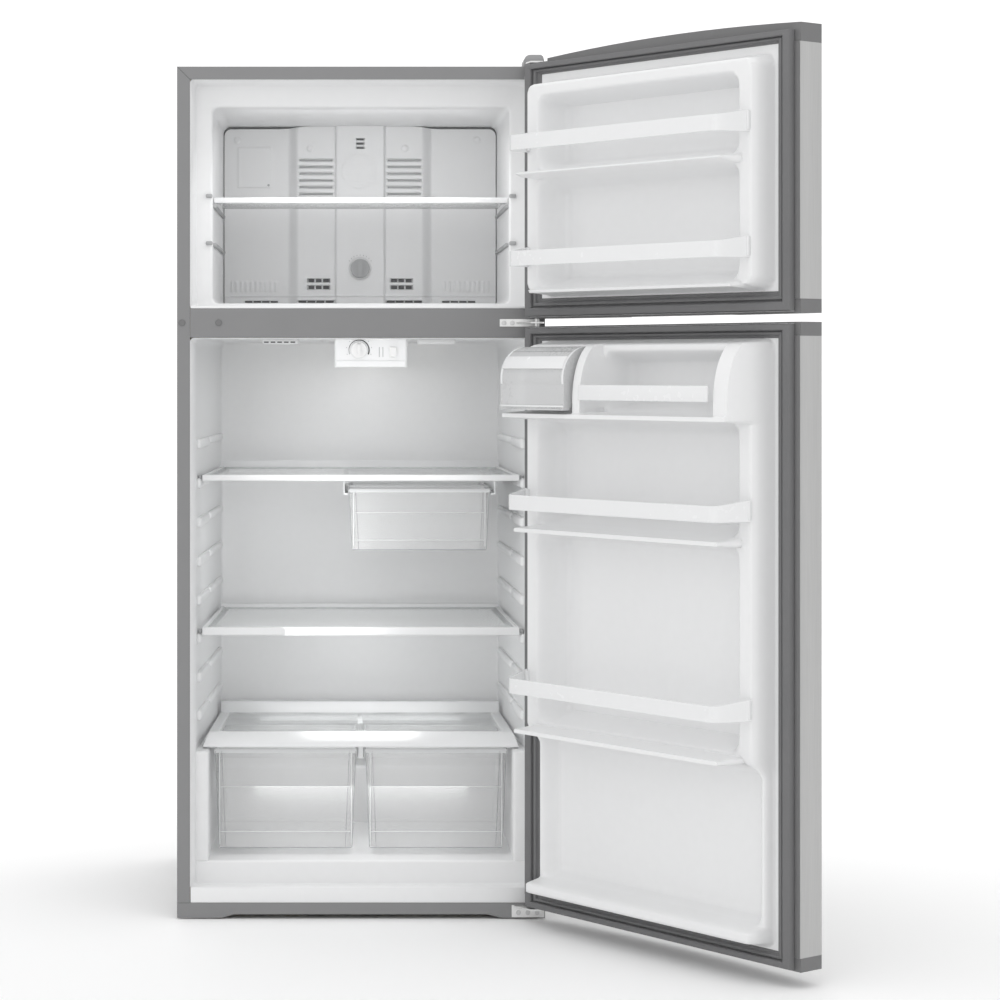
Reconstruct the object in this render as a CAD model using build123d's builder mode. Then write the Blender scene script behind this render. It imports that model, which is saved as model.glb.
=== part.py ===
"""Top freezer refrigerator, 28 inch class, doors standing open.

Millimetres, +Z up, +X to the right of somebody facing the doors, -Y towards them.
The origin is on the floor, in the middle of the case's footprint.
Depths called d are measured back from the case's front plane.
"""
import os
from build123d import *

# ---- driving dimensions -------------------------------------------------------------
CASE_HALF = 355.5          # half the case's width
CASE_DEPTH = 660.0
CASE_TOP = 1647.0
SIDE_BOTTOM = 10.0         # lower edge of the steel sides
SHEET = 1.0                # painted steel
LINER = 1.5                # moulded plastic liner
GAP = 0.1                  # clearance between nested layers
FRONT = -CASE_DEPTH / 2    # y of the case's front plane
FLANGE = 25.0              # width of the steel front flange
MULLION = (1123.4, 1179.4)
BASE_TOP = 31.0

THROAT = 50.0              # depth of the opening's wider mouth
MOUTH_HALF = 330.0         # half width of both mouths at the front plane
STEP_HALF = 322.0          # the same at the throat's back
FREEZER_HALF = 288.0
FREEZER_Z = (1190.0, 1573.0)
FREEZER_MOUTH_Z = ((1180.0, 1622.5), (1183.0, 1616.5))
FRIDGE_MOUTH_Z = ((58.0, 1122.0), (58.0, 1121.0))
FRIDGE_CEILING = 1121.0
FRIDGE_HALF_FRONT = 322.0  # of the upper box at the throat, narrowing towards the back
FRIDGE_HALF_BACK = 300.0
CRISPER_ZONE_HALF = 297.0
CRISPER_ZONE_TOP = 317.0
FRIDGE_FLOOR = 104.0
HUMP_D = 480.0             # the liner steps up over the machine bay here
HUMP_TOP = 225.0
CAVITY_BACK = 595.0
MACHINE_D = 512.0          # front of the machine bay
MACHINE_TOP = 190.0
COVER_D = 470.0            # evaporator cover

PIN_X = 337.3              # hinge axis
PIN_D = -29.1
DOOR_OPEN = 127.7          # degrees, the doors' rest pose
DOOR_HALF = 355.5
DOOR_BACK_D = -14.2        # plane the gasket sits on
DOOR_SIDE_D = -70.7        # front edge of the door's sides
DOOR_BOW_D = -95.7         # front of the bowed face at mid width
CAP = 24.0                 # end cap height
FREEZER_DOOR_Z = (1159.5, 1648.7)
FRIDGE_DOOR_Z = (29.5, 1144.0)
RECESS_D = -25.0           # floor of the door liner's recess
POST_D = 38.0              # the dyke's top
DYKE_HALF = 299.0
POST_WIDTH = 34.0
GASKET_TOP_D = -0.8
GASKET_X = (305.0, 342.0)
PIN_R = 4.0
PIN_PLAY = 0.06

os.makedirs("parts", exist_ok=True)


def save(part, name):
    """Label a finished piece and write its STEP."""
    part.label = name
    export_step(part, f"parts/{name}.step")


def block(x, d, z, mode=Mode.ADD):
    """A box between low and high pairs along X, depth and Z."""
    middle = ((x[0] + x[1]) / 2, FRONT + (d[0] + d[1]) / 2, (z[0] + z[1]) / 2)
    with Locations(middle):
        Box(x[1] - x[0], d[1] - d[0], z[1] - z[0], mode=mode)


def at_depth(d):
    """An upright plane, parallel to the case's front, d behind it."""
    return Plane(origin=(0, FRONT + d, 0), x_dir=(1, 0, 0), z_dir=(0, -1, 0))


def along_x(x):
    """An upright plane across the case at x, its own x axis running back."""
    return Plane(origin=(x, FRONT, 0), x_dir=(0, 1, 0), z_dir=(1, 0, 0))


def frustum(d, half, z, mode=Mode.ADD):
    """A loft between two rectangles: d, half widths and z ranges at the near and far ends."""
    ends = []
    for depth, wide, (low, high) in zip(d, half, z):
        with BuildSketch(at_depth(depth)) as end:
            with Locations((0, (low + high) / 2)):
                Rectangle(2 * wide, high - low)
        ends.append(end.sketch)
    loft(ends, mode=mode)


def both(x):
    """A pair of X ranges, mirrored about the middle."""
    return (x, (-x[1], -x[0]))


# ---- case ---------------------------------------------------------------------------
OPENING_HALF = CASE_HALF - FLANGE
PLUG_X = (-346.0, -275.0)       # plugs in the unused hinge holes, left of the doors' gap
PLUG_Z = 1151.8
PLUG_STEM_R = 3.4
PLUG_HEAD_R = 6.5
PLUG_PLAY = 0.06


def plug_hole(x):
    """A plug's hole through the front sheet."""
    with BuildSketch(at_depth(-1)) as hole:
        with Locations((x, PLUG_Z)):
            Circle(PLUG_STEM_R + PLUG_PLAY)
    extrude(hole.sketch, amount=-(SHEET + 1.5), mode=Mode.SUBTRACT)


with BuildPart() as case_wrapper:
    block((-CASE_HALF, CASE_HALF), (0, CASE_DEPTH), (SIDE_BOTTOM, CASE_TOP))
    inner_half = CASE_HALF - SHEET
    hollow_z = (SIDE_BOTTOM - 1, CASE_TOP - SHEET)
    block((-inner_half, inner_half), (SHEET, CASE_DEPTH + 1), hollow_z, Mode.SUBTRACT)
    opening_z = (SIDE_BOTTOM - 1, CASE_TOP - FLANGE)
    block((-OPENING_HALF, OPENING_HALF), (-1, SHEET + 1), opening_z, Mode.SUBTRACT)
    for side in both((OPENING_HALF - 1, CASE_HALF + 1)):
        block(side, (-1, 3), (SIDE_BOTTOM - 1, BASE_TOP), Mode.SUBTRACT)
    plug_hole(PLUG_X[0])
save(case_wrapper.part, "case_wrapper")

with BuildPart() as mullion_rail:
    rail_half = OPENING_HALF - 0.4
    block((-rail_half, rail_half), (0, SHEET), MULLION)
    for low in (MULLION[0] + 1.2, MULLION[1] - 4.0):
        block((-rail_half, rail_half), (SHEET, 12), (low, low + SHEET))
    plug_hole(PLUG_X[1])
save(mullion_rail.part, "mullion_rail")

with BuildPart() as hinge_plugs:
    for radius, near, length in ((PLUG_HEAD_R, 0, 1.6), (PLUG_STEM_R, SHEET + 0.1, 1.3)):
        with BuildSketch(at_depth(near)):
            with Locations(*[(x, PLUG_Z) for x in PLUG_X]):
                Circle(radius)
        extrude(amount=length)
    chamfer(hinge_plugs.edges().group_by(Axis.Y)[0], 0.6)
save(hinge_plugs.part, "hinge_plugs")

RAIL_CUT_HALF = 245.0
with BuildPart() as base_rail:
    with BuildSketch(at_depth(0)):
        with BuildLine():
            Polyline(
                (-CASE_HALF, 2), (-RAIL_CUT_HALF - 26, 2), (-RAIL_CUT_HALF, 9), (RAIL_CUT_HALF, 9),
                (RAIL_CUT_HALF + 26, 2), (CASE_HALF, 2), (CASE_HALF, BASE_TOP), (-CASE_HALF, BASE_TOP),
                close=True,
            )
        make_face()
    extrude(amount=-1.5)
    block((-CASE_HALF + 2, CASE_HALF - 2), (1.5, 48), (BASE_TOP - 1.5, BASE_TOP))
save(base_rail.part, "base_rail")

with BuildPart() as rear_panel:
    panel_half = CASE_HALF - 1.2
    block((-panel_half, panel_half), (CASE_DEPTH - SHEET, CASE_DEPTH), (MACHINE_TOP + 1, CASE_TOP - 1.2))
save(rear_panel.part, "rear_panel")

BAY_HALF = 338.0
ROLLER_R = 19.0
ROLLER_D = 600.0
AXLE_R = 2.5
with BuildPart() as base_pan:
    block((-BAY_HALF, BAY_HALF), (MACHINE_D + 1, CASE_DEPTH - 6), (22, 24))
    block((-BAY_HALF, BAY_HALF), (MACHINE_D + 1, MACHINE_D + 3), (24, 40))
    for side in both((300.0, 302.0)):
        block(side, (MACHINE_D + 20, CASE_DEPTH - 6), (6, 22))
    for side in both((334.0, 336.0)):
        block(side, (MACHINE_D + 20, CASE_DEPTH - 6), (6, 22))
    for side in both((302.0, 334.0)):
        block(side, (575, 625), (20, 26), Mode.SUBTRACT)
    with Locations((0, FRONT + ROLLER_D, ROLLER_R)):
        Cylinder(AXLE_R + 0.05, 700, rotation=(0, 90, 0), mode=Mode.SUBTRACT)
save(base_pan.part, "base_pan")

# ---- insulation: one convex block per panel, a hair apart -----------------------------
HAIR = 0.2
SKIN = LINER + GAP         # from a cavity's face to the foam behind it
foam_half = CASE_HALF - SHEET - GAP
foam_top = CASE_TOP - SHEET - GAP
foam_back = CASE_DEPTH - SHEET - GAP
foam_front = 1.2
throat_back = THROAT + SKIN
mullion_low = FRIDGE_CEILING + SKIN
mullion_high = FREEZER_Z[0] - SKIN
freezer_top = FREEZER_Z[1] + SKIN
zone_top = CRISPER_ZONE_TOP - SKIN - HAIR


def foam_prism(points, z):
    """A foam block from its plan, given as (x, d) points."""
    with BuildSketch(Plane.XY.offset(z[0])) as plan:
        with BuildLine():
            Polyline(*[(x, FRONT + d) for x, d in points], close=True)
        make_face()
    extrude(plan.sketch, amount=z[1] - z[0])


with BuildPart() as wall_insulation:
    for s in (-1, 1):
        throat = [(s * foam_half, foam_front), (s * (MOUTH_HALF + SKIN), foam_front),
                  (s * (STEP_HALF + SKIN), throat_back - HAIR), (s * foam_half, throat_back - HAIR)]
        foam_prism(throat, (BASE_TOP + 1, zone_top))
        foam_prism(throat, (mullion_high + HAIR, freezer_top))
        crisper_wall = both((CRISPER_ZONE_HALF + SKIN, foam_half))[0 if s > 0 else 1]
        block(crisper_wall, (throat_back, MACHINE_D), (BASE_TOP + 1, zone_top))
        block(crisper_wall, (MACHINE_D + HAIR, foam_back), (MACHINE_TOP, zone_top))
        bay_wall = both((340.0, foam_half))[0 if s > 0 else 1]
        block(bay_wall, (MACHINE_D + HAIR, foam_back), (BASE_TOP, MACHINE_TOP - HAIR))
        foam_prism([(s * foam_half, foam_front), (s * (MOUTH_HALF + SKIN), foam_front),
                    (s * (STEP_HALF + SKIN), throat_back), (s * (FRIDGE_HALF_BACK + SKIN), CAVITY_BACK),
                    (s * (FRIDGE_HALF_BACK + SKIN), foam_back), (s * foam_half, foam_back)],
                   (zone_top + HAIR, mullion_low - HAIR))
        freezer_wall = both((FREEZER_HALF + SKIN, foam_half))[0 if s > 0 else 1]
        block(freezer_wall, (throat_back, foam_back), (mullion_high + HAIR, freezer_top))
    step = STEP_HALF + SKIN - HAIR
    block((-step, step), (foam_front, throat_back - HAIR), (BASE_TOP + 1, FRIDGE_MOUTH_Z[0][0] - SKIN))
    floor_half = CRISPER_ZONE_HALF + SKIN - HAIR
    block((-floor_half, floor_half), (throat_back, HUMP_D + SKIN - HAIR), (BASE_TOP + 1, FRIDGE_FLOOR - SKIN))
    block((-floor_half, floor_half), (HUMP_D + SKIN, MACHINE_D), (BASE_TOP + 1, HUMP_TOP - SKIN))
    block((-floor_half, floor_half), (MACHINE_D + HAIR, foam_back), (MACHINE_TOP, HUMP_TOP - SKIN))
    block((-floor_half, floor_half), (CAVITY_BACK + SKIN, foam_back), (HUMP_TOP - SKIN + HAIR, zone_top))
    back_half = FRIDGE_HALF_BACK + SKIN - HAIR
    block((-back_half, back_half), (CAVITY_BACK + SKIN, foam_back), (zone_top + HAIR, mullion_low - HAIR))
    block((-foam_half, foam_half), (13, throat_back - HAIR), (MULLION[0] + 1.2, FREEZER_MOUTH_Z[0][0] - SKIN))
    block((-foam_half, foam_half), (throat_back, foam_back), (mullion_low, mullion_high))
    rear_half = FREEZER_HALF + SKIN - HAIR
    block((-rear_half, rear_half), (CAVITY_BACK + SKIN, foam_back), (mullion_high + HAIR, freezer_top))
    block((-foam_half, foam_half), (throat_back, foam_back), (freezer_top + HAIR, foam_top))
    block((-foam_half, foam_half), (foam_front, throat_back - HAIR), (FREEZER_MOUTH_Z[0][1] + SKIN, foam_top))
save(wall_insulation.part, "wall_insulation")


# ---- liners --------------------------------------------------------------------------
def freezer_cavity(grow, mode=Mode.ADD):
    """The freezer's mouth and inner box, grown outwards by grow."""
    mouths = [(low - grow, high + grow) for low, high in FREEZER_MOUTH_Z]
    frustum((1.2, THROAT + grow), (MOUTH_HALF + grow, STEP_HALF + grow), mouths, mode)
    half = FREEZER_HALF + grow
    block((-half, half), (THROAT - 5, CAVITY_BACK + grow), (FREEZER_Z[0] - grow, FREEZER_Z[1] + grow), mode)


def fridge_cavity(grow, mode=Mode.ADD):
    """The fresh food mouth, the tapering upper box and the crisper zone, grown by grow."""
    mouths = [(low - grow, high + grow) for low, high in FRIDGE_MOUTH_Z]
    frustum((1.2, THROAT + grow), (MOUTH_HALF + grow, STEP_HALF + grow), mouths, mode)
    box_z = (CRISPER_ZONE_TOP - grow, FRIDGE_CEILING + grow)
    halves = (FRIDGE_HALF_FRONT + grow, FRIDGE_HALF_BACK + grow)
    frustum((THROAT - 5, CAVITY_BACK + grow), halves, (box_z, box_z), mode)
    half = CRISPER_ZONE_HALF + grow
    zone_top_z = CRISPER_ZONE_TOP + 1
    block((-half, half), (THROAT - 5, HUMP_D + grow), (FRIDGE_FLOOR - grow, zone_top_z), mode)
    block((-half, half), (HUMP_D - 5, CAVITY_BACK + grow), (HUMP_TOP - grow, zone_top_z), mode)


with BuildPart() as freezer_liner:
    freezer_cavity(LINER)
    freezer_cavity(0, Mode.SUBTRACT)
    block((-400, 400), (-5, 1.3), (1100, 1700), Mode.SUBTRACT)
save(freezer_liner.part, "freezer_liner")

with BuildPart() as fridge_liner:
    fridge_cavity(LINER)
    fridge_cavity(0, Mode.SUBTRACT)
    block((-400, 400), (-5, 1.3), (0, 1200), Mode.SUBTRACT)
save(fridge_liner.part, "fridge_liner")


# ---- freezer interior ------------------------------------------------------------------
# Plan of the evaporator cover: half width of each band and how far it stands forward.
PANEL_HALF = 286.5
STEP_OUT = 152.0
STEP_IN = 129.0
COLUMN_HALF = 54.0
LOUVRE_FORWARD = 16.0
CENTRE_FORWARD = 24.0
COVER_WALL = 2.5
SLOT_Z = [1501.5 - 14.2 * i for i in range(6)]
KNOB_Z = 1273.5


def cover_line(back):
    """The cover's plan from left to right, moved back by its wall where asked."""
    def at(x, forward):
        return (x, FRONT + COVER_D - forward + back)
    half = [at(PANEL_HALF, 0), at(STEP_OUT, 0), at(STEP_IN, LOUVRE_FORWARD), at(COLUMN_HALF, LOUVRE_FORWARD),
            at(COLUMN_HALF - 5, CENTRE_FORWARD)]
    return [(-x, y) for x, y in half] + [(x, y) for x, y in reversed(half)]


with BuildPart() as evaporator_cover:
    with BuildSketch(Plane.XY.offset(FREEZER_Z[0] + 0.5)):
        with BuildLine():
            Polyline(*(cover_line(0) + cover_line(COVER_WALL)[::-1]), close=True)
        make_face()
    extrude(amount=FREEZER_Z[1] - FREEZER_Z[0] - 1.5)
    for z in SLOT_Z:
        for side in both((58.0, 127.0)):
            block(side, (COVER_D - 30, COVER_D + 10), (z - 2, z + 2), Mode.SUBTRACT)
    for z in (1545.0, 1536.0, 1527.0):
        block((-8, 8), (COVER_D - 30, COVER_D), (z - 1.5, z + 1.5), Mode.SUBTRACT)
    for z in (1248.5, 1234.0):
        for side in both((64.0, 110.0)):
            block(side, (COVER_D - 30, COVER_D + 10), (z - 4, z + 4), Mode.SUBTRACT)
    with BuildSketch(at_depth(COVER_D)):
        with Locations((0, KNOB_Z)):
            Circle(4.1)
    extrude(amount=40, both=True, mode=Mode.SUBTRACT)
save(evaporator_cover.part, "evaporator_cover")

COIL_D = (505.0, 560.0)
COIL_Z = (1215.0, 1380.0)
with BuildPart() as evaporator_coil:
    for i in range(19):
        x = -234.0 + 26.0 * i
        block((x - 0.4, x + 0.4), COIL_D, COIL_Z)
    with BuildSketch(along_x(-250.0)):
        with Locations(((COIL_D[0] + COIL_D[1]) / 2, (COIL_Z[0] + COIL_Z[1]) / 2)):
            with GridLocations(30, 30, 2, 6):
                Circle(4.5)
    extrude(amount=500)
save(evaporator_coil.part, "evaporator_coil")

with BuildPart() as defrost_heater:
    with BuildSketch(along_x(-225.0)):
        with Locations((530, 1204)):
            Circle(5)
    extrude(amount=450)
    for side in both((225.0, 231.0)):
        block(side, (522, 538), (1196, 1212))
save(defrost_heater.part, "defrost_heater")

EVAPORATOR_FAN = (-4.0, 508.0, 1478.0)
CONDENSER_FAN = (30.0, 586.0, 112.0)
FAN_SHAFT_R = 3.0


def fan(radius, depth):
    """Four pitched blades on a hub, axis +Z, bored for its motor's shaft."""
    with BuildPart() as wheel:
        Cylinder(radius * 0.3, depth)
        with PolarLocations(radius * 0.62, 4):
            Box(radius * 0.76, radius * 0.72, 1.6, rotation=(28, 0, 0))
        with BuildSketch(Plane.XY.offset(-depth)):
            Circle(radius)
            Circle(FAN_SHAFT_R + PIN_PLAY, mode=Mode.SUBTRACT)
        extrude(amount=2 * depth, mode=Mode.INTERSECT)
    return wheel.part


def motor(depth, gap):
    """A fan motor, axis +Z, its can starting gap below the fan, with its shaft."""
    with BuildPart() as can:
        with Locations((0, 0, -gap - 15)):
            Cylinder(22, 30)
        with Locations((0, 0, (depth - gap) / 2 - 2)):
            Cylinder(FAN_SHAFT_R, depth + gap)
    return can.part




def placed(x, d, z):
    """A point from its x, depth and height."""
    return (x, FRONT + d, z)


evaporator_fan_plane = Plane(origin=placed(*EVAPORATOR_FAN), x_dir=(1, 0, 0), z_dir=(0, -1, 0))
condenser_fan_plane = Plane(origin=placed(*CONDENSER_FAN), x_dir=(0, 1, 0), z_dir=(1, 0, 0))
save(evaporator_fan_plane * fan(44, 16), "evaporator_fan")
save(condenser_fan_plane * fan(58, 18), "condenser_fan")
fan_motors = Part() + [evaporator_fan_plane * motor(12, 10), condenser_fan_plane * motor(14, 11)]
save(fan_motors, "fan_motors")

with BuildPart() as freezer_knob:
    with BuildSketch(at_depth(COVER_D - CENTRE_FORWARD - 0.5)):
        with Locations((0, KNOB_Z)):
            Circle(20)
    extrude(amount=9)
    fillet(freezer_knob.edges().filter_by(GeomType.CIRCLE).group_by(Axis.Y)[0], 1.5)
    block((-5, 5), (COVER_D - CENTRE_FORWARD - 17, COVER_D - CENTRE_FORWARD - 5), (KNOB_Z - 18, KNOB_Z + 18))
    with BuildSketch(at_depth(COVER_D - CENTRE_FORWARD - 0.5)):
        with Locations((0, KNOB_Z)):
            Circle(4)
    extrude(amount=-10)
save(freezer_knob.part, "freezer_knob")

FREEZER_SHELF_Z = 1397.0
FREEZER_SHELF_D = (62.0, 350.0)
PLATE_X = (-284.5, 284.5)
TRIM_DEPTH = 8.0
plate_front, plate_back = FREEZER_SHELF_D[0] + TRIM_DEPTH, FREEZER_SHELF_D[1]
with BuildPart() as freezer_shelf_plate:
    block(PLATE_X, (plate_front, plate_back), (FREEZER_SHELF_Z - 4, FREEZER_SHELF_Z))
    block(PLATE_X, (plate_back - 5, plate_back), (FREEZER_SHELF_Z, FREEZER_SHELF_Z + 6))
save(freezer_shelf_plate.part, "freezer_shelf_plate")
with BuildPart() as freezer_shelf_trim:
    block((-286.5, 286.5), (FREEZER_SHELF_D[0], plate_front), (FREEZER_SHELF_Z - 10, FREEZER_SHELF_Z + 1))
    fillet(freezer_shelf_trim.edges().filter_by(Axis.X).group_by(Axis.Y)[0], 2.5)
save(freezer_shelf_trim.part, "freezer_shelf_trim")

# ---- fresh food interior ---------------------------------------------------------------
CONTROL_X = (-52.0, 92.0)
CONTROL_D = (122.0, 300.0)
CONTROL_Z = (1066.0, FRIDGE_CEILING - 0.3)
FRIDGE_KNOB = (-3.5, 1100.0)
SWITCH_X = (58.0, 70.0)
SWITCH_Z = (1086.0, 1106.0)
with BuildPart() as control_box:
    block(CONTROL_X, CONTROL_D, CONTROL_Z)
    fillet(control_box.edges().filter_by(Axis.Z).group_by(Axis.Y)[0], 6)
    block((CONTROL_X[0] + 3, CONTROL_X[1] - 3), (CONTROL_D[0] + 3, CONTROL_D[1] + 1),
          (CONTROL_Z[0] + 3, CONTROL_Z[1] + 1), Mode.SUBTRACT)
    with BuildSketch(at_depth(CONTROL_D[0])):
        with Locations((FRIDGE_KNOB[0], FRIDGE_KNOB[1])):
            Circle(4.1)
        with Locations(((SWITCH_X[0] + SWITCH_X[1]) / 2, (SWITCH_Z[0] + SWITCH_Z[1]) / 2)):
            Rectangle(SWITCH_X[1] - SWITCH_X[0] + 0.8, SWITCH_Z[1] - SWITCH_Z[0] + 0.8)
    extrude(amount=-8, mode=Mode.SUBTRACT)
save(control_box.part, "control_box")

with BuildPart() as fridge_knob:
    with BuildSketch(at_depth(CONTROL_D[0] - 0.5)):
        with Locations(FRIDGE_KNOB):
            Circle(16)
    extrude(amount=6)
    fillet(fridge_knob.edges().filter_by(GeomType.CIRCLE).group_by(Axis.Y)[0], 1.2)
    block((FRIDGE_KNOB[0] - 3, FRIDGE_KNOB[0] + 3), (CONTROL_D[0] - 11, CONTROL_D[0] - 3),
          (FRIDGE_KNOB[1] - 14, FRIDGE_KNOB[1] + 14))
    with BuildSketch(at_depth(CONTROL_D[0] - 0.5)):
        with Locations(FRIDGE_KNOB):
            Circle(4)
    extrude(amount=-8)
save(fridge_knob.part, "fridge_knob")

SWITCH_OUT = 7.0
with BuildPart() as light_switch:
    block(SWITCH_X, (CONTROL_D[0] - SWITCH_OUT, CONTROL_D[0] + 12), SWITCH_Z)
    fillet(light_switch.edges().filter_by(Axis.X).group_by(Axis.Y)[0], 3)
save(light_switch.part, "light_switch")

with BuildPart() as light_bulb:
    with BuildSketch(Plane(origin=(30, FRONT, 1094), x_dir=(0, 1, 0), z_dir=(0, 0, 1))):
        with BuildLine():
            Polyline((236, 0), (236, 13), (205, 13))
            Spline((205, 13), (190, 20), (172, 24), (154, 15), (148, 0))
            Line((148, 0), (236, 0))
        make_face()
    revolve(axis=Axis((30, 0, 1094), (0, 1, 0)))
save(light_bulb.part, "light_bulb")

SHELF_D = (75.0, 548.0)
SHELF_FRONT_HALF = 310.5
SHELF_BACK_HALF = 296.5
UPPER_SHELF_Z = 853.0
LOWER_SHELF_Z = 554.0
CRISPER_COVER_Z = 331.0
GLASS = 4.0


def shelf_half(d):
    """Half width of a shelf at a depth, narrowing with the liner's walls."""
    share = (d - SHELF_D[0]) / (SHELF_D[1] - SHELF_D[0])
    return SHELF_FRONT_HALF + share * (SHELF_BACK_HALF - SHELF_FRONT_HALF)


def shelf_plan(near, far, inset):
    """A face: the shelf's trapezium between two depths, with its sides set in."""
    a, b = shelf_half(near) - inset, shelf_half(far) - inset
    with BuildSketch() as plan:
        with BuildLine():
            Polyline((-a, FRONT + near), (a, FRONT + near), (b, FRONT + far), (-b, FRONT + far), close=True)
        make_face()
    return plan.sketch


def shelf_glass(top):
    """A shelf's glass pane, its upper face at top."""
    with BuildPart() as pane:
        extrude(Pos(0, 0, top - GLASS) * shelf_plan(SHELF_D[0] + 12, SHELF_D[1] - 10, 8), amount=GLASS)
    return pane.part


def shelf_frame(top, front_low, rear_low, rear_high):
    """A moulded rim round a pane: front bar, two side rails and a raised back rail."""
    with BuildPart() as rim:
        front = shelf_plan(SHELF_D[0], SHELF_D[0] + 11.8, 0)
        extrude(Pos(0, 0, front_low) * front, amount=top + 2 - front_low)
        fillet(rim.edges().filter_by(Axis.X).group_by(Axis.Y)[0], 3)
        extrude(Pos(0, 0, top - GLASS - 5) * shelf_plan(SHELF_D[0] + 5, SHELF_D[1], 0), amount=GLASS + 6)
        extrude(Pos(0, 0, rear_low) * shelf_plan(SHELF_D[1] - 8, SHELF_D[1], 0), amount=rear_high - rear_low)
        hole = shelf_plan(SHELF_D[0] + 22, SHELF_D[1] - 20, 18)
        extrude(Pos(0, 0, top - 30) * hole, amount=60, mode=Mode.SUBTRACT)
        rebate = shelf_plan(SHELF_D[0] + 11.9, SHELF_D[1] - 9.9, 7.9)
        extrude(Pos(0, 0, top - GLASS - 0.1) * rebate, amount=60, mode=Mode.SUBTRACT)
    return rim.part


save(shelf_glass(UPPER_SHELF_Z), "upper_shelf_glass")
save(shelf_frame(UPPER_SHELF_Z, 843.0, 843.0, 867.0), "upper_shelf_frame")
save(shelf_glass(LOWER_SHELF_Z), "lower_shelf_glass")
save(shelf_frame(LOWER_SHELF_Z, 540.0, 536.0, 561.0), "lower_shelf_frame")

with BuildPart() as crisper_glass:
    extrude(Pos(0, 0, CRISPER_COVER_Z - GLASS) * shelf_plan(118, 522, 8), amount=GLASS)
save(crisper_glass.part, "crisper_glass")

CRISPER_RAIL_HALF = 5.0
RAIL_FOOT_HALF = 7.0
with BuildPart() as crisper_frame:
    with BuildSketch(along_x(-shelf_half(80.0))):
        with BuildLine():
            Polyline((80, 319), (112, 347), (117.5, 347), (117.5, 319), close=True)
        make_face()
    extrude(amount=2 * shelf_half(80.0))
    extrude(Pos(0, 0, 319) * shelf_plan(110, 548, 0), amount=CRISPER_COVER_Z + 1 - 319)
    extrude(Pos(0, 0, 319) * shelf_plan(522, 548, 0), amount=36)
    extrude(Pos(0, 0, 300) * shelf_plan(136, 510, 20), amount=60, mode=Mode.SUBTRACT)
    pane_seat = Pos(0, 0, CRISPER_COVER_Z - GLASS - 0.1) * shelf_plan(117.9, 522.1, 7.9)
    extrude(pane_seat, amount=9, mode=Mode.SUBTRACT)
    block((-CRISPER_RAIL_HALF, CRISPER_RAIL_HALF), (104, 540), (296, 326))
    block((-RAIL_FOOT_HALF, RAIL_FOOT_HALF), (106, 460), (294, 297.5))
save(crisper_frame.part, "crisper_frame")


def tray(x, d, z, wall, draft):
    """An open drawer: walls leaning outwards by draft towards the top."""
    def plan(height, grow):
        with BuildSketch(Plane.XY.offset(height)) as level:
            with Locations(((x[0] + x[1]) / 2, FRONT + (d[0] + d[1]) / 2)):
                RectangleRounded(x[1] - x[0] + 2 * grow, d[1] - d[0] + 2 * grow, 14)
        return level.sketch
    with BuildPart() as bin_body:
        loft([plan(z[0], -draft), plan(z[1], 0)])
        loft([plan(z[0] + wall, -draft - wall), plan(z[1] + 1, -wall)], mode=Mode.SUBTRACT)
    return bin_body.part


CRISPER_D = (100.0, 448.0)
CRISPER_Z = (117.0, 314.0)
CRISPER_X = (8.5, 288.0)
save(tray(CRISPER_X, CRISPER_D, CRISPER_Z, 2.2, 8), "crisper_right")
save(tray((-CRISPER_X[1], -CRISPER_X[0]), CRISPER_D, CRISPER_Z, 2.2, 8), "crisper_left")

PAN_X = (-24.0, 256.0)
PAN_D = (125.0, 455.0)
PAN_Z = (703.0, 824.0)
RIM = 7.0
with BuildPart() as meat_pan:
    add(tray(PAN_X, PAN_D, PAN_Z, 2.0, 6))
    for x in ((PAN_X[0] - RIM, PAN_X[0] + 0.5), (PAN_X[1] - 0.5, PAN_X[1] + RIM)):
        block(x, (PAN_D[0] + 14, PAN_D[1] - 14), (PAN_Z[1] - 4, PAN_Z[1]))
save(meat_pan.part, "meat_pan")

with BuildPart() as pan_rails:
    rail_d = (SHELF_D[0] + 42, SHELF_D[1] - 30)
    for edge, out in ((PAN_X[0] - RIM, -1), (PAN_X[1] + RIM, 1)):
        web = sorted((edge + out * 1.0, edge + out * 3.0))
        lip = sorted((edge + out * 3.0, edge - out * 5.5))
        head = sorted((edge + out * 3.0, edge - out * 8.0))
        block(web, rail_d, (PAN_Z[1] - 10, UPPER_SHELF_Z - GLASS - 0.2))
        block(lip, rail_d, (PAN_Z[1] - 10, PAN_Z[1] - 7))
        block(head, rail_d, (UPPER_SHELF_Z - GLASS - 3, UPPER_SHELF_Z - GLASS - 0.2))
save(pan_rails.part, "pan_rails")

# ---- machine bay ------------------------------------------------------------------------
COMPRESSOR = (-140.0, 584.0)
with BuildPart() as compressor:
    with Locations((COMPRESSOR[0], FRONT + COMPRESSOR[1], 106)):
        Cylinder(66, 96)
    fillet(compressor.edges().filter_by(GeomType.CIRCLE), 30)
    with Locations((COMPRESSOR[0], FRONT + COMPRESSOR[1], 108)):
        Cylinder(67.5, 8)
    block((COMPRESSOR[0] - 85, COMPRESSOR[0] + 85), (COMPRESSOR[1] - 40, COMPRESSOR[1] + 40), (36, 40))
    with Locations((COMPRESSOR[0], FRONT + COMPRESSOR[1], 50)):
        Cylinder(40, 24)
    with Locations((COMPRESSOR[0], FRONT + COMPRESSOR[1], 30.1)):
        with GridLocations(150, 60, 2, 2):
            Cylinder(8, 12)
save(compressor.part, "compressor")

CONDENSER_X = (80.0, 300.0)
with BuildPart() as condenser_coil:
    for i in range(12):
        x = CONDENSER_X[0] + 6 + i * 18.5
        block((x - 0.4, x + 0.4), (530, 642), (56, 168))
    with BuildSketch(along_x(CONDENSER_X[0])):
        with Locations((586, 112)):
            with GridLocations(26, 24, 4, 4):
                Circle(3.2)
    extrude(amount=CONDENSER_X[1] - CONDENSER_X[0])
save(condenser_coil.part, "condenser_coil")

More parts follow.
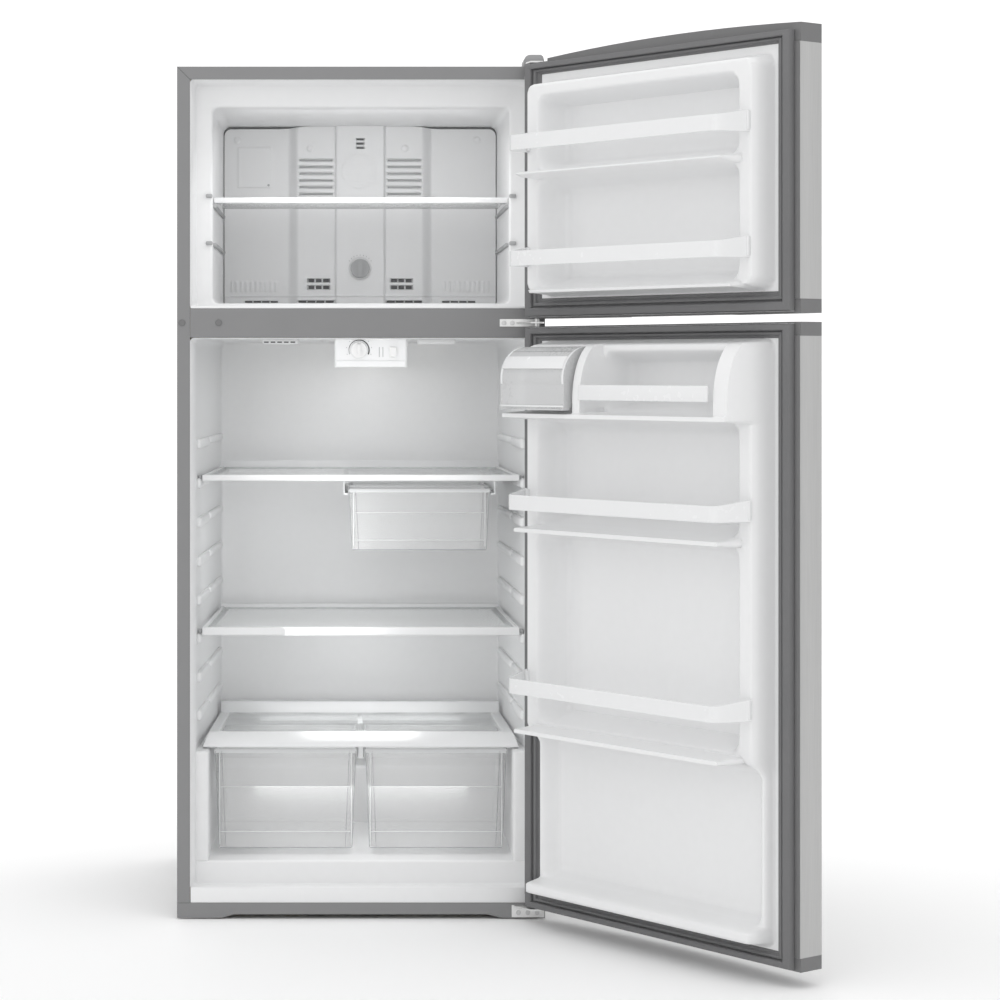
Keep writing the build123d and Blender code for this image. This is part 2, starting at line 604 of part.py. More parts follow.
with BuildPart() as drain_pan:
    block((78, 296), (525, 648), (26, 50))
    block((81, 293), (528, 645), (28, 51), Mode.SUBTRACT)
save(drain_pan.part, "drain_pan")

GLAND = (-300.0, 60.0)
with BuildPart() as compressor_cover:
    block((-338, 338), (CASE_DEPTH - 3, CASE_DEPTH), (26, MACHINE_TOP))
    for row in range(6):
        for x in (-220, -140, 60, 140, 220):
            z = 60 + 20 * row
            block((x - 28, x + 28), (CASE_DEPTH - 4, CASE_DEPTH + 1), (z - 3, z + 3), Mode.SUBTRACT)
    with Locations((GLAND[0], FRONT + CASE_DEPTH, GLAND[1])):
        Cylinder(10.1, 20, rotation=(90, 0, 0), mode=Mode.SUBTRACT)
save(compressor_cover.part, "compressor_cover")

with BuildPart() as cord_gland:
    for d, radius, length, mode in ((3, 13, 3, Mode.ADD), (0, 10, 8, Mode.ADD), (4, 4.5, 20, Mode.SUBTRACT)):
        with BuildSketch(at_depth(CASE_DEPTH + d)):
            with Locations(GLAND):
                Circle(radius)
        extrude(amount=length, mode=mode)
save(cord_gland.part, "cord_gland")

for name, side in (("roller_left", -1), ("roller_right", 1)):
    with BuildPart() as roller:
        with Locations((side * 318, FRONT + ROLLER_D, ROLLER_R)):
            Cylinder(ROLLER_R, 26, rotation=(0, 90, 0))
            Cylinder(AXLE_R, 34, rotation=(0, 90, 0))
        fillet(roller.edges().filter_by(GeomType.CIRCLE).filter_by(lambda e: e.radius > 10), 2)
    save(roller.part, name)

FOOT_D = 30.0
FOOT_X = 312.0
for name, side in (("foot_left", -1), ("foot_right", 1)):
    with BuildPart() as foot:
        with Locations((side * FOOT_X, FRONT + FOOT_D, 5)):
            Cylinder(17, 10)
        chamfer(foot.edges().filter_by(GeomType.CIRCLE).group_by(Axis.Z)[-1], 2)
        with Locations((side * FOOT_X, FRONT + FOOT_D, 19)):
            Cylinder(5, 20)
    save(foot.part, name)

# ---- hinges ---------------------------------------------------------------------------------
PIN = (PIN_X, FRONT + PIN_D)


def hinge_leaf(points, z):
    """A flat leaf from its plan, given as (x, d) points."""
    with BuildSketch(Plane.XY.offset(z[0])) as plan:
        with BuildLine():
            Polyline(*[(x, FRONT + d) for x, d in points], close=True)
        make_face()
    extrude(plan.sketch, amount=z[1] - z[0])


def hinge_pin(low, high):
    """A round pin on the doors' axis."""
    with Locations((PIN[0], PIN[1], (low + high) / 2)):
        Cylinder(PIN_R, high - low)


NOSE = [(352, PIN_D), (348, PIN_D - 12), (325, PIN_D - 12)]
TOP_LEAF_X = (318.0, 352.0)
TOP_LEAF_Z = (1650.2, 1653.2)
TOP_SCREW = (335.0, 36.0)       # x and d of the middle of the leaf's four screws
TOP_SCREW_SPACING = (18.0, 34.0)
SCREW_HOLE_R = 2.6
with BuildPart() as top_hinge:
    hinge_leaf([(TOP_LEAF_X[0], 66), (TOP_LEAF_X[1], 66)] + NOSE + [(TOP_LEAF_X[0], PIN_D + 12)], TOP_LEAF_Z)
    block(TOP_LEAF_X, (6, 66), (CASE_TOP, TOP_LEAF_Z[0]))
    hinge_pin(FREEZER_DOOR_Z[1] - 12, TOP_LEAF_Z[0] + 1)
    with Locations(placed(*TOP_SCREW, TOP_LEAF_Z[0])):
        with GridLocations(*TOP_SCREW_SPACING, 2, 2):
            Cylinder(SCREW_HOLE_R, 20, mode=Mode.SUBTRACT)
save(top_hinge.part, "top_hinge")

with BuildPart() as top_hinge_cover:
    block((314, 355), (4, 78), (CASE_TOP, 1672))
    fillet(top_hinge_cover.edges().group_by(Axis.Z)[-1], 6)
    block((316.6, 352.6), (1, 75.5), (CASE_TOP - 1, 1662), Mode.SUBTRACT)
save(top_hinge_cover.part, "top_hinge_cover")

CENTRE_LEAF_Z = (1150.0, 1153.0)
CENTRE_SCREW_X = (276, 292)
with BuildPart() as center_hinge:
    block((268, 345), (-3, 0), (1144.6, 1158.9))
    hinge_leaf([(300, 0), (345, 0)] + NOSE + [(300, -8)], CENTRE_LEAF_Z)
    hinge_pin(CENTRE_LEAF_Z[1] - 1, FREEZER_DOOR_Z[0] + 12)
    hinge_pin(FRIDGE_DOOR_Z[1] - 10, CENTRE_LEAF_Z[0] + 1)
    with BuildSketch(at_depth(5)):
        with Locations(*[(x, 1151.5) for x in CENTRE_SCREW_X]):
            Circle(SCREW_HOLE_R)
    extrude(amount=10, mode=Mode.SUBTRACT)
save(center_hinge.part, "center_hinge")

BOTTOM_LEAF_Z = (23.5, 27.0)
BOTTOM_SCREW_X = (304, 322, 340)
BOTTOM_SCREW_Z = 13.0
with BuildPart() as bottom_hinge:
    block((291, 354), (-3, 0), (4, BOTTOM_LEAF_Z[1]))
    hinge_leaf([(296, 0), (352, 0)] + NOSE + [(296, -8)], BOTTOM_LEAF_Z)
    hinge_pin(BOTTOM_LEAF_Z[1] - 1, FRIDGE_DOOR_Z[0] + 13)
    with BuildSketch(at_depth(5)):
        with Locations(*[(x, BOTTOM_SCREW_Z) for x in BOTTOM_SCREW_X]):
            Circle(SCREW_HOLE_R)
    extrude(amount=10, mode=Mode.SUBTRACT)
save(bottom_hinge.part, "bottom_hinge")


def screw(length):
    """A pan head screw along +Z, its head standing above the origin."""
    with BuildPart() as fastener:
        with Locations((0, 0, 1.2)):
            Cylinder(4.6, 2.4)
        fillet(fastener.edges().filter_by(GeomType.CIRCLE).group_by(Axis.Z)[-1], 1.0)
        with Locations((0, 0, -length / 2)):
            Cylinder(2.4, length)
        with Locations((0, 0, 2.2)):
            Box(6, 1.0, 1.2, mode=Mode.SUBTRACT)
            Box(1.0, 6, 1.2, mode=Mode.SUBTRACT)
    return fastener.part


def facing(x, z, d):
    """A plane at a point, looking out of the front."""
    return Plane(origin=(x, FRONT + d, z), x_dir=(1, 0, 0), z_dir=(0, -1, 0))


half_x, half_d = TOP_SCREW_SPACING[0] / 2, TOP_SCREW_SPACING[1] / 2
screws = [Pos(*placed(TOP_SCREW[0] + dx, TOP_SCREW[1] + dd, TOP_LEAF_Z[1])) * screw(5.5)
          for dx in (-half_x, half_x) for dd in (-half_d, half_d)]
screws += [facing(x, 1151.5, -3) * screw(2.9) for x in CENTRE_SCREW_X]
screws += [facing(x, BOTTOM_SCREW_Z, -3) * screw(2.9) for x in BOTTOM_SCREW_X]
save(Part() + screws, "screws")

# ---- doors ------------------------------------------------------------------------------------
HINGE_AXIS = Axis((PIN[0], PIN[1], 0), (0, 0, 1))
PIN_HOLE_R = PIN_R + PIN_PLAY


def opened(part):
    """Turn a piece built on the closed door to the doors' rest pose."""
    return part.rotate(HINGE_AXIS, DOOR_OPEN)


def door_plan(height, inset, back):
    """Plan of a door at a height: straight back and free side, bowed front, hinge side rounded off."""
    half = DOOR_HALF - inset
    side, bow = FRONT + DOOR_SIDE_D + inset, FRONT + DOOR_BOW_D + inset
    turn = [(half, FRONT - 49), (343.6 - 0.75 * inset, FRONT - 62.8 + 0.65 * inset),
            (324, bow + 21.5 - 0.1 * inset)]
    with BuildSketch(Plane.XY.offset(height)) as plan:
        with BuildLine():
            Polyline(turn[0], (half, FRONT + back), (-half, FRONT + back), (-half, side))
            ThreePointArc(turn[0], turn[1], turn[2])
            ThreePointArc(turn[2], (0, bow), (-half, side))
        make_face()
        fillet(plan.vertices().group_by(Axis.X)[0].sort_by(Axis.Y)[0], 6 - min(inset, 4))
    return plan.sketch


def pin_hole(low, high):
    """The hinge bush's bore."""
    with Locations((PIN[0], PIN[1], (low + high) / 2)):
        Cylinder(PIN_HOLE_R, high - low, mode=Mode.SUBTRACT)


def door_skin(z0, z1):
    """The bowed steel front with its side returns and narrow back flanges."""
    low, tall = z0 + CAP + 0.1, z1 - z0 - 2 * CAP - 0.2
    with BuildPart() as skin:
        extrude(door_plan(low, 0, DOOR_BACK_D), amount=tall)
        extrude(door_plan(low - 1, SHEET, DOOR_BACK_D - SHEET), amount=tall + 2, mode=Mode.SUBTRACT)
        block((-341, 341), (DOOR_BACK_D - 5, DOOR_BACK_D + 5), (low - 1, low + tall + 1), Mode.SUBTRACT)
    return skin.part


GRIP_HALF = 140.0


def door_caps(z0, z1, crowned, grip_top):
    """The moulded end caps: hollow, with a hinge bush, a finger grip and, on the freezer door, a crown."""
    crown = 20.0 if crowned else 0.0
    back = DOOR_BACK_D - LINER - GAP
    grip_wall = ((-GRIP_HALF - 4, GRIP_HALF + 4), (-90, DOOR_SIDE_D + 8))
    grip = ((-GRIP_HALF, GRIP_HALF), (-120, DOOR_SIDE_D + 4))
    with BuildPart() as upper:
        extrude(door_plan(z1 - CAP, 0, back), amount=CAP + crown)
        extrude(door_plan(z1 - CAP - 1, 3, back - 3), amount=CAP - 2, mode=Mode.SUBTRACT)
        with Locations((PIN[0], PIN[1], z1 - 9.5)):
            Cylinder(9, 15)
        if crowned:
            with BuildSketch(at_depth(60)) as sky:
                with BuildLine():
                    ThreePointArc((-400, z1 + 6), (-10, z1 + 17), (400, z1 - 2))
                    Polyline((400, z1 - 2), (400, z1 + 60), (-400, z1 + 60), (-400, z1 + 6))
                make_face()
            extrude(sky.sketch, amount=220, mode=Mode.SUBTRACT)
            block((292, 400), (-200, 60), (z1 + 0.6, z1 + 60), Mode.SUBTRACT)
        pin_hole(z1 - 18, z1 + 30)
        if grip_top:
            block(*grip_wall, (z1 - 18, z1 - 2))
            block(*grip, (z1 - 15, z1 + 1), Mode.SUBTRACT)
    with BuildPart() as lower:
        extrude(door_plan(z0, 0, back), amount=CAP)
        extrude(door_plan(z0 + 3, 3, back - 3), amount=CAP, mode=Mode.SUBTRACT)
        with Locations((PIN[0], PIN[1], z0 + 9.5)):
            Cylinder(9, 15)
        pin_hole(z0 - 1, z0 + 18)
        if not grip_top:
            block(*grip_wall, (z0 + 2, z0 + 18))
            block(*grip, (z0 - 1, z0 + 15), Mode.SUBTRACT)
    return Part() + [upper.part, lower.part]


def dyke_blocks(ledges, z0, z1):
    """The liner's raised parts as (x, d, z) boxes: two posts, a head, a foot and the shelf ledges."""
    inner = DYKE_HALF - POST_WIDTH
    (foot_d, foot_top), post_low = ledges["foot"], ledges["post_low"]
    boxes = [(side, (RECESS_D, POST_D), (post_low, z1)) for side in both((inner, DYKE_HALF))]
    boxes.append(((-inner, inner), (RECESS_D, POST_D), (z1 - 26, z1)))
    boxes.append(((-inner, inner), (RECESS_D, foot_d), (z0, foot_top)))
    if post_low > z0:
        boxes += [(side, (RECESS_D, 8.0), (z0, post_low)) for side in both((DYKE_HALF - 14, DYKE_HALF))]
        gap = DYKE_HALF - 14
        boxes += [(side, (RECESS_D, foot_d), (z0, foot_top)) for side in both((inner, gap))]
    for depth, top in ledges["shelves"]:
        boxes.append(((-inner, inner), (RECESS_D, depth), (top - 10, top)))
    boxes += ledges.get("boxes", [])
    return boxes


def shrunk(pair, by):
    """A low and high pair drawn in at both ends."""
    return (pair[0] + by, pair[1] - by)


FOAM_END = 18.5


def door_foam(z0, z1, boxes):
    """The foam as convex blocks: the slab behind the skin and one inside each raised part."""
    pad = SKIN + 0.1
    with BuildPart() as foam:
        extrude(door_plan(z0 + FOAM_END, 3.4, RECESS_D - pad), amount=z1 - z0 - 2 * FOAM_END)
        for x, d, z in boxes:
            low_d = RECESS_D - pad + HAIR
            block(shrunk(x, pad), (low_d, d[1] - pad), shrunk(z, pad))
    return foam.part


def door_liner(low, high, boxes, flange_z, ears=()):
    """The moulded inner liner: a dished sheet with hollow raised parts, and a rim on the gasket's plane."""
    with BuildPart() as liner:
        block((-DYKE_HALF, DYKE_HALF), (RECESS_D - LINER, RECESS_D), (low, high))
        block((-340, 340), (DOOR_BACK_D - LINER, DOOR_BACK_D), flange_z)
        block((-DYKE_HALF, DYKE_HALF), (DOOR_BACK_D - LINER - 1, DOOR_BACK_D + 1), (low, high), Mode.SUBTRACT)
        rim = (RECESS_D - LINER, DOOR_BACK_D)
        block((-DYKE_HALF, DYKE_HALF), rim, (low, high))
        dish = shrunk((-DYKE_HALF, DYKE_HALF), LINER)
        block(dish, (RECESS_D, 10), shrunk((low, high), LINER), Mode.SUBTRACT)
        for x, d, z in boxes:
            block(x, (RECESS_D - LINER, d[1]), z)
        for x, d, z in boxes:
            hollow = (RECESS_D - LINER - 1, d[1] - LINER)
            block(shrunk(x, LINER), hollow, shrunk(z, LINER), Mode.SUBTRACT)
        for x in ears:
            block(x, (POST_D - 1, FLIP_D + 9), (FLIP_Z - 9, FLIP_Z + 9))
        if ears:
            with Locations((0, FRONT + FLIP_D, FLIP_Z)):
                Cylinder(FLIP_PIN_R + 0.05, 640, rotation=(0, 90, 0), mode=Mode.SUBTRACT)
    return liner.part


def door_gasket(z0, z1, inner_z):
    """The magnetic gasket, a frame standing on the door's back plane."""
    with BuildPart() as gasket:
        block((-GASKET_X[1], GASKET_X[1]), (DOOR_BACK_D, GASKET_TOP_D), (z0 + 3, z1 - 3))
        block((-GASKET_X[0], GASKET_X[0]), (DOOR_BACK_D - 1, 1), inner_z, Mode.SUBTRACT)
    return gasket.part


def shelf_bar(front_half, root_half, front_d, root_d, low, tall, wall=3.0):
    """A snap-in retainer: a straight bar with returns raked back to the posts."""
    outer = [(-root_half, root_d), (-front_half, front_d), (front_half, front_d), (root_half, root_d)]
    inner = [(root_half - wall, root_d), (front_half - wall, front_d - wall),
             (-front_half + wall, front_d - wall), (-root_half + wall, root_d)]
    with BuildPart() as bar:
        with BuildSketch(Plane.XY.offset(low)):
            with BuildLine():
                Polyline(*[(x, FRONT + d) for x, d in outer + inner], close=True)
            make_face()
        extrude(amount=tall)
        fillet(bar.edges().filter_by(Axis.Z).group_by(Axis.Y)[-1], 6)
    return bar.part


FREEZER_LINER_Z = (1199.0, 1602.0)
FREEZER_LEDGES = {"foot": (60.0, 1216.0), "post_low": FREEZER_LINER_Z[0], "shelves": [(88.0, 1434.0)]}
FLIP_D = 48.0          # the dairy cover's pivot, behind the front plane and above the floor
FLIP_Z = 1097.0
FLIP_PIN_R = 2.5

freezer_boxes = dyke_blocks(FREEZER_LEDGES, *FREEZER_LINER_Z)
fz = FREEZER_DOOR_Z
save(opened(door_skin(*fz)), "freezer_door_skin")
save(opened(door_caps(*fz, crowned=True, grip_top=False)), "freezer_door_caps")
save(opened(door_foam(*fz, freezer_boxes)), "freezer_door_foam")
save(opened(door_liner(*FREEZER_LINER_Z, freezer_boxes, shrunk(fz, 2.5))), "freezer_door_liner")
save(opened(door_gasket(*fz, (1197.5, 1624.0))), "freezer_door_gasket")
freezer_bars = [shelf_bar(270.0, 287.5, 104.0, POST_D + 0.3, z, 28.0) for z in (1471.5, 1255.0)]
save(opened(Part() + freezer_bars), "freezer_door_bars")

FRIDGE_LINER_Z = (60.0, 1109.0)
BIN_FLOOR_Z = (972.0, 984.0)
PILLAR_X = (78.0, 108.0)        # between the can rack and the dairy box
RACK_END_X = (-292.0, -249.0)   # the can rack's outer wall
FRIDGE_LEDGES = {
    "foot": (44.0, 100.0), "post_low": 378.0, "shelves": [(94.0, 769.0), (94.0, 393.0)],
    "boxes": [((-292.0, 295.0), (RECESS_D, 100.0), BIN_FLOOR_Z),
              (RACK_END_X, (RECESS_D, 94.0), (BIN_FLOOR_Z[1] - 3, 1040.0)),
              (PILLAR_X, (RECESS_D, 94.0), (BIN_FLOOR_Z[1] - 3, 1046.0)),
              (PILLAR_X, (RECESS_D, 56.0), (1043.0, FRIDGE_LINER_Z[1] - 23))],
}
fridge_boxes = dyke_blocks(FRIDGE_LEDGES, *FRIDGE_LINER_Z)
EARS = ((100.0, 110.0), (289.5, 298.5))
fr = FRIDGE_DOOR_Z
save(opened(door_skin(*fr)), "fridge_door_skin")
save(opened(door_caps(*fr, crowned=False, grip_top=True)), "fridge_door_caps")
save(opened(door_foam(*fr, fridge_boxes)), "fridge_door_foam")
save(opened(door_liner(*FRIDGE_LINER_Z, fridge_boxes, shrunk(fr, 2.5), EARS)), "fridge_door_liner")
save(opened(door_gasket(*fr, (58.5, 1116.0))), "fridge_door_gasket")
CAN_BAR_X = (RACK_END_X[1] + 0.4, PILLAR_X[0] - 0.4)
CAN_BAR_Z = (1010.0, 1034.0)
with BuildPart() as can_bar:
    block(CAN_BAR_X, (101, 104), CAN_BAR_Z)
    block((CAN_BAR_X[0], CAN_BAR_X[0] + 3), (94.4, 104), CAN_BAR_Z)
    block((CAN_BAR_X[1] - 3, CAN_BAR_X[1]), (94.4, 104), CAN_BAR_Z)
fridge_bars = [shelf_bar(268.0, 293.0, 108.0, POST_D + 0.3, z, 28.0) for z in (800.0, 457.5)]
save(opened(Part() + fridge_bars + [can_bar.part]), "fridge_door_bars")

COVER_X = (112.0, 287.0)        # the dairy box's flip-up cover
COVER_Z = (987.0, 1034.0)
COVER_FRONT_D = 106.0


def cover_profile(x, inset):
    """The cover's side shape: upright front, then a quarter curve back to the pivot."""
    front, low = COVER_FRONT_D - inset, COVER_Z[0]
    with BuildSketch(along_x(x)) as profile:
        with BuildLine():
            ThreePointArc((front, COVER_Z[1]), (90.5 - 0.7 * inset, 1085.5 - 0.7 * inset),
                          (FLIP_D + 3, 1104 - inset))
            Polyline((FLIP_D + 3, 1104 - inset), (FLIP_D - 4, 1103 - inset), (FLIP_D - 4, 1089),
                     (front - 14, low), (front, low), (front, COVER_Z[1]))
        make_face()
    return profile.sketch


with BuildPart() as dairy_door:
    extrude(cover_profile(COVER_X[0], 0), amount=COVER_X[1] - COVER_X[0])
    with BuildSketch(along_x(COVER_X[0] + 2.5)) as inside:
        with BuildLine():
            ThreePointArc((COVER_FRONT_D - 2.5, COVER_Z[1]), (88.5, 1083.5), (FLIP_D + 3, 1101.5))
            Polyline((FLIP_D + 3, 1101.5), (FLIP_D - 6, 1101.5), (FLIP_D - 6, COVER_Z[0] - 2),
                     (COVER_FRONT_D - 2.5, COVER_Z[0] - 2), (COVER_FRONT_D - 2.5, COVER_Z[1]))
        make_face()
    extrude(inside.sketch, amount=COVER_X[1] - COVER_X[0] - 5, mode=Mode.SUBTRACT)
    block(COVER_X, (COVER_FRONT_D - 0.5, COVER_FRONT_D + 3), (COVER_Z[0], COVER_Z[0] + 6))
    with Locations((COVER_X[0] - 2, FRONT + FLIP_D, FLIP_Z), (COVER_X[1] + 2.5, FRONT + FLIP_D, FLIP_Z)):
        Cylinder(FLIP_PIN_R, 8, rotation=(0, 90, 0))
save(opened(dairy_door.part), "dairy_door")
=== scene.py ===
import math

import bpy
import numpy as np
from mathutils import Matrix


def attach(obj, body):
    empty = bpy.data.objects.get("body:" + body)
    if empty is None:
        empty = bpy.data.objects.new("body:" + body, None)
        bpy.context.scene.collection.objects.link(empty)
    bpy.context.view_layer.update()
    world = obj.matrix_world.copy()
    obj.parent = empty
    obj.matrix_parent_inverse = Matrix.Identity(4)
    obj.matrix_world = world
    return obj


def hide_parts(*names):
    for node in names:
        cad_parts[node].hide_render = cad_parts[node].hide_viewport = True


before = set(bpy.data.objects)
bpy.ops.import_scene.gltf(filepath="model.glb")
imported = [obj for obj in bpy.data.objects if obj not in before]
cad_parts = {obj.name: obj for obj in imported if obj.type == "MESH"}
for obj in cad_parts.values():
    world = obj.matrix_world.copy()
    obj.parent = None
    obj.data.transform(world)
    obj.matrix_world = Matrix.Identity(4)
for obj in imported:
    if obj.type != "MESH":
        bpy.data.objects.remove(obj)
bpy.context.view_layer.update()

# Lengths in the shape functions are millimetres: x across, d behind the case's front plane, z up.
MM = 0.001
FRONT = 330.0
PIN = np.array([337.3, -29.1])
DOOR_OPEN = math.radians(127.7)
SIDES = (-1, 1)
INDEX_OF_REFRACTION = 1.49

# The back of the case's filling, and the machine bay's front.
FILLING_BACK = 655
BAY_FRONT = 505

# A door's liner: its flange, the dyke round it, its recesses and its back, then the racks' roots and height.
FLANGE_D = -14.2
DYKE_D = 38
RECESS_D = -24.8
SHEET_BACK = -26.4
RACK_ROOT_D = 38.3
RACK_TALL = 28

# The freezer's back cover, with its louvres, vents and slots by height, and the two dials' centres (x, z).
COVER_HALF = 286.2
COVER_Z = (1190.6, 1572.5)
WING_D = 470
LOUVRE_Z = [1501.5 - 14.2 * i for i in range(6)]
VENT_Z = (1248.5, 1234)
CENTRE_SLOT_Z = (1545, 1536, 1527)
FREEZER_DIAL = (0, 1273.5)
FRIDGE_DIAL = (-3.5, 1100)

# The drawers: sides, front and back, floor, and how far the front leans in at its foot.
CRISPER_X = {"right": (8.5, 288), "left": (-288, -8.5)}
CRISPER_D = (100, 448)
CRISPER_FLOOR = 117
CRISPER_LEAN = 8
MEAT_X = (-24, 256)
MEAT_D = (125, 455)
MEAT_FLOOR = 703
MEAT_LEAN = 6

# The dairy cover's curve: its centre (d, z) and radius.
DAIRY_ARC = (47.2, 1044.4)
DAIRY_ARC_R = 59.8


# ---- camera, floor and light ------------------------------------------------------------
def camera():
    """A long lens well in front of the doors, square to the case, framed by a small shift."""
    data = bpy.data.cameras.new("camera")
    data.sensor_width = 36
    data.lens = 95.35
    data.shift_x = 0.1501
    data.shift_y = -0.1323
    data.clip_end = 50
    view = bpy.data.objects.new("camera", data)
    view.location = (-0.02149, -5.44734, 1.06508)
    view.rotation_euler = (math.pi / 2, 0, 0)
    bpy.context.collection.objects.link(view)
    bpy.context.scene.camera = view


def soft_light(name, place, aim, size, power):
    """A square softbox at a place, turned to face another."""
    data = bpy.data.lights.new(name, "AREA")
    data.size = size
    data.energy = power
    lamp = bpy.data.objects.new(name, data)
    away = np.array(place, float) - np.array(aim, float)
    lamp.location = place
    flat = math.hypot(away[0], away[1])
    lamp.rotation_euler = (math.atan2(flat, away[2]), 0, math.atan2(away[0], -away[1]))
    bpy.context.collection.objects.link(lamp)


# ---- finishes ---------------------------------------------------------------------------
def finish(name, colour, rough, metal=0.0, vary=0.03, grain=220.0, bump=0.05, stretch=(1, 1, 1), wear=0.06,
           coat=0.0, clear=0.0, aniso=0.0, glow=0.0, specular=0.5, cover=1.0):
    """A finish with fine grain: colour and gloss drift with two sizes of noise, and the grain gives a
    small bump."""
    mat = bpy.data.materials.new(name)
    mat.use_nodes = True
    nodes, links = mat.node_tree.nodes, mat.node_tree.links
    shader = nodes["Principled BSDF"]
    coord = nodes.new("ShaderNodeTexCoord")
    mapping = nodes.new("ShaderNodeMapping")
    mapping.inputs["Scale"].default_value = stretch
    links.new(coord.outputs["Object"], mapping.inputs["Vector"])
    fine = nodes.new("ShaderNodeTexNoise")
    fine.inputs["Scale"].default_value = grain
    fine.inputs["Detail"].default_value = 3
    broad = nodes.new("ShaderNodeTexNoise")
    broad.inputs["Scale"].default_value = max(grain / 40, 2.5)
    broad.inputs["Detail"].default_value = 2
    links.new(mapping.outputs["Vector"], fine.inputs["Vector"])
    links.new(mapping.outputs["Vector"], broad.inputs["Vector"])
    both = nodes.new("ShaderNodeMath")
    both.operation = "MULTIPLY_ADD"
    both.inputs[1].default_value = 0.5
    links.new(fine.outputs["Fac"], both.inputs[0])
    half = nodes.new("ShaderNodeMath")
    half.operation = "MULTIPLY"
    half.inputs[1].default_value = 0.5
    links.new(broad.outputs["Fac"], half.inputs[0])
    links.new(half.outputs[0], both.inputs[2])
    ramp = nodes.new("ShaderNodeValToRGB")
    low = [max(c * (1 - vary), 0) for c in colour]
    high = [min(c * (1 + vary), 1) for c in colour]
    ramp.color_ramp.elements[0].position = 0.3
    ramp.color_ramp.elements[0].color = (*low, 1)
    ramp.color_ramp.elements[1].position = 0.7
    ramp.color_ramp.elements[1].color = (*high, 1)
    links.new(both.outputs[0], ramp.inputs["Fac"])
    links.new(ramp.outputs["Color"], shader.inputs["Base Color"])
    gloss = nodes.new("ShaderNodeMapRange")
    gloss.inputs["From Min"].default_value = 0.3
    gloss.inputs["From Max"].default_value = 0.7
    gloss.inputs["To Min"].default_value = max(rough - wear, 0.02)
    gloss.inputs["To Max"].default_value = min(rough + wear, 1)
    links.new(both.outputs[0], gloss.inputs["Value"])
    links.new(gloss.outputs["Result"], shader.inputs["Roughness"])
    relief = nodes.new("ShaderNodeBump")
    relief.inputs["Strength"].default_value = bump
    relief.inputs["Distance"].default_value = 0.0004
    links.new(fine.outputs["Fac"], relief.inputs["Height"])
    links.new(relief.outputs["Normal"], shader.inputs["Normal"])
    shader.inputs["Metallic"].default_value = metal
    shader.inputs["IOR"].default_value = INDEX_OF_REFRACTION
    shader.inputs["Coat Weight"].default_value = coat
    shader.inputs["Transmission Weight"].default_value = clear
    shader.inputs["Anisotropic"].default_value = aniso
    shader.inputs["Specular IOR Level"].default_value = specular
    shader.inputs["Alpha"].default_value = cover
    if glow:
        shader.inputs["Emission Color"].default_value = (1, 0.97, 0.9, 1)
        shader.inputs["Emission Strength"].default_value = glow
    return mat


LINER_WHITE = finish("liner_white", (0.835, 0.838, 0.842), 0.34, bump=0.03, grain=60, vary=0.012, coat=0.1)
CASE_ENAMEL = finish("case_enamel", (0.235, 0.235, 0.238), 0.42, bump=0.12, grain=700, vary=0.03)
BRUSHED = finish("brushed_steel", (0.5, 0.5, 0.497), 0.34, metal=1.0, bump=0.1, grain=900,
                 stretch=(1, 1, 0.012), vary=0.1, wear=0.08, aniso=0.4)
CAP_GREY = finish("cap_grey", (0.17, 0.17, 0.172), 0.5, bump=0.25, grain=900, vary=0.04)
GASKET_GREY = finish("gasket_grey", (0.16, 0.16, 0.163), 0.6, bump=0.1, grain=400, vary=0.05)
FOAM_TAN = finish("foam_tan", (0.75, 0.62, 0.33), 0.9, bump=0.6, grain=300, vary=0.12)
BAR_WHITE = finish("bar_white", (0.81, 0.815, 0.82), 0.24, bump=0.02, grain=80, vary=0.01, coat=0.25)
INTERIOR_WHITE = finish("interior_white", (0.82, 0.825, 0.83), 0.38, bump=0.06, grain=500, vary=0.015)
COVER_GREY = finish("cover_grey", (0.8, 0.804, 0.808), 0.4, bump=0.06, grain=500, vary=0.015)
SHELF_GLASS = finish("shelf_glass", (0.86, 0.885, 0.885), 0.06, cover=0.3, bump=0.01, grain=20, vary=0.01,
                     wear=0.02)
CLEAR_STYRENE = finish("clear_styrene", (0.86, 0.865, 0.868), 0.14, cover=0.26, bump=0.03, grain=30,
                       vary=0.01, wear=0.03)
STYRENE_EDGE = finish("styrene_edge", (0.88, 0.89, 0.895), 0.16, cover=0.72, bump=0.03, grain=30, vary=0.01,
                      wear=0.03)
# Mid grey for the freezer knob, dial marks, catch and shelf edge, and painted shade in the control slots, the
# dairy cover's crease and the meat rail's shadow.
DIAL_GREY_AND_SHADE = finish("dial_grey", (0.43, 0.435, 0.44), 0.4, bump=0.06, grain=600, vary=0.03)
FROSTED_STYRENE = finish("frosted_styrene", (0.74, 0.745, 0.75), 0.3, cover=0.7, bump=0.08, grain=200,
                         vary=0.01)
STYRENE_LINE = finish("styrene_line", (0.4, 0.41, 0.42), 0.2, cover=0.5, bump=0.03, grain=30, vary=0.02,
                      wear=0.03)
# Painted shade: a mid grey standing in for shade in the louvre recesses, on the shelf guides and at the shelf
# ends.
PAINTED_SHADE_GREY = finish("painted_shade_grey", (0.4, 0.405, 0.41), 0.45, bump=0.06, grain=500, vary=0.03)
# Painted shade: a near black for the shade inside the back cover's vents and slots.
PAINTED_VENT_SHADE = finish("painted_vent_shade", (0.13, 0.132, 0.135), 0.6, bump=0.06, grain=500, vary=0.05)
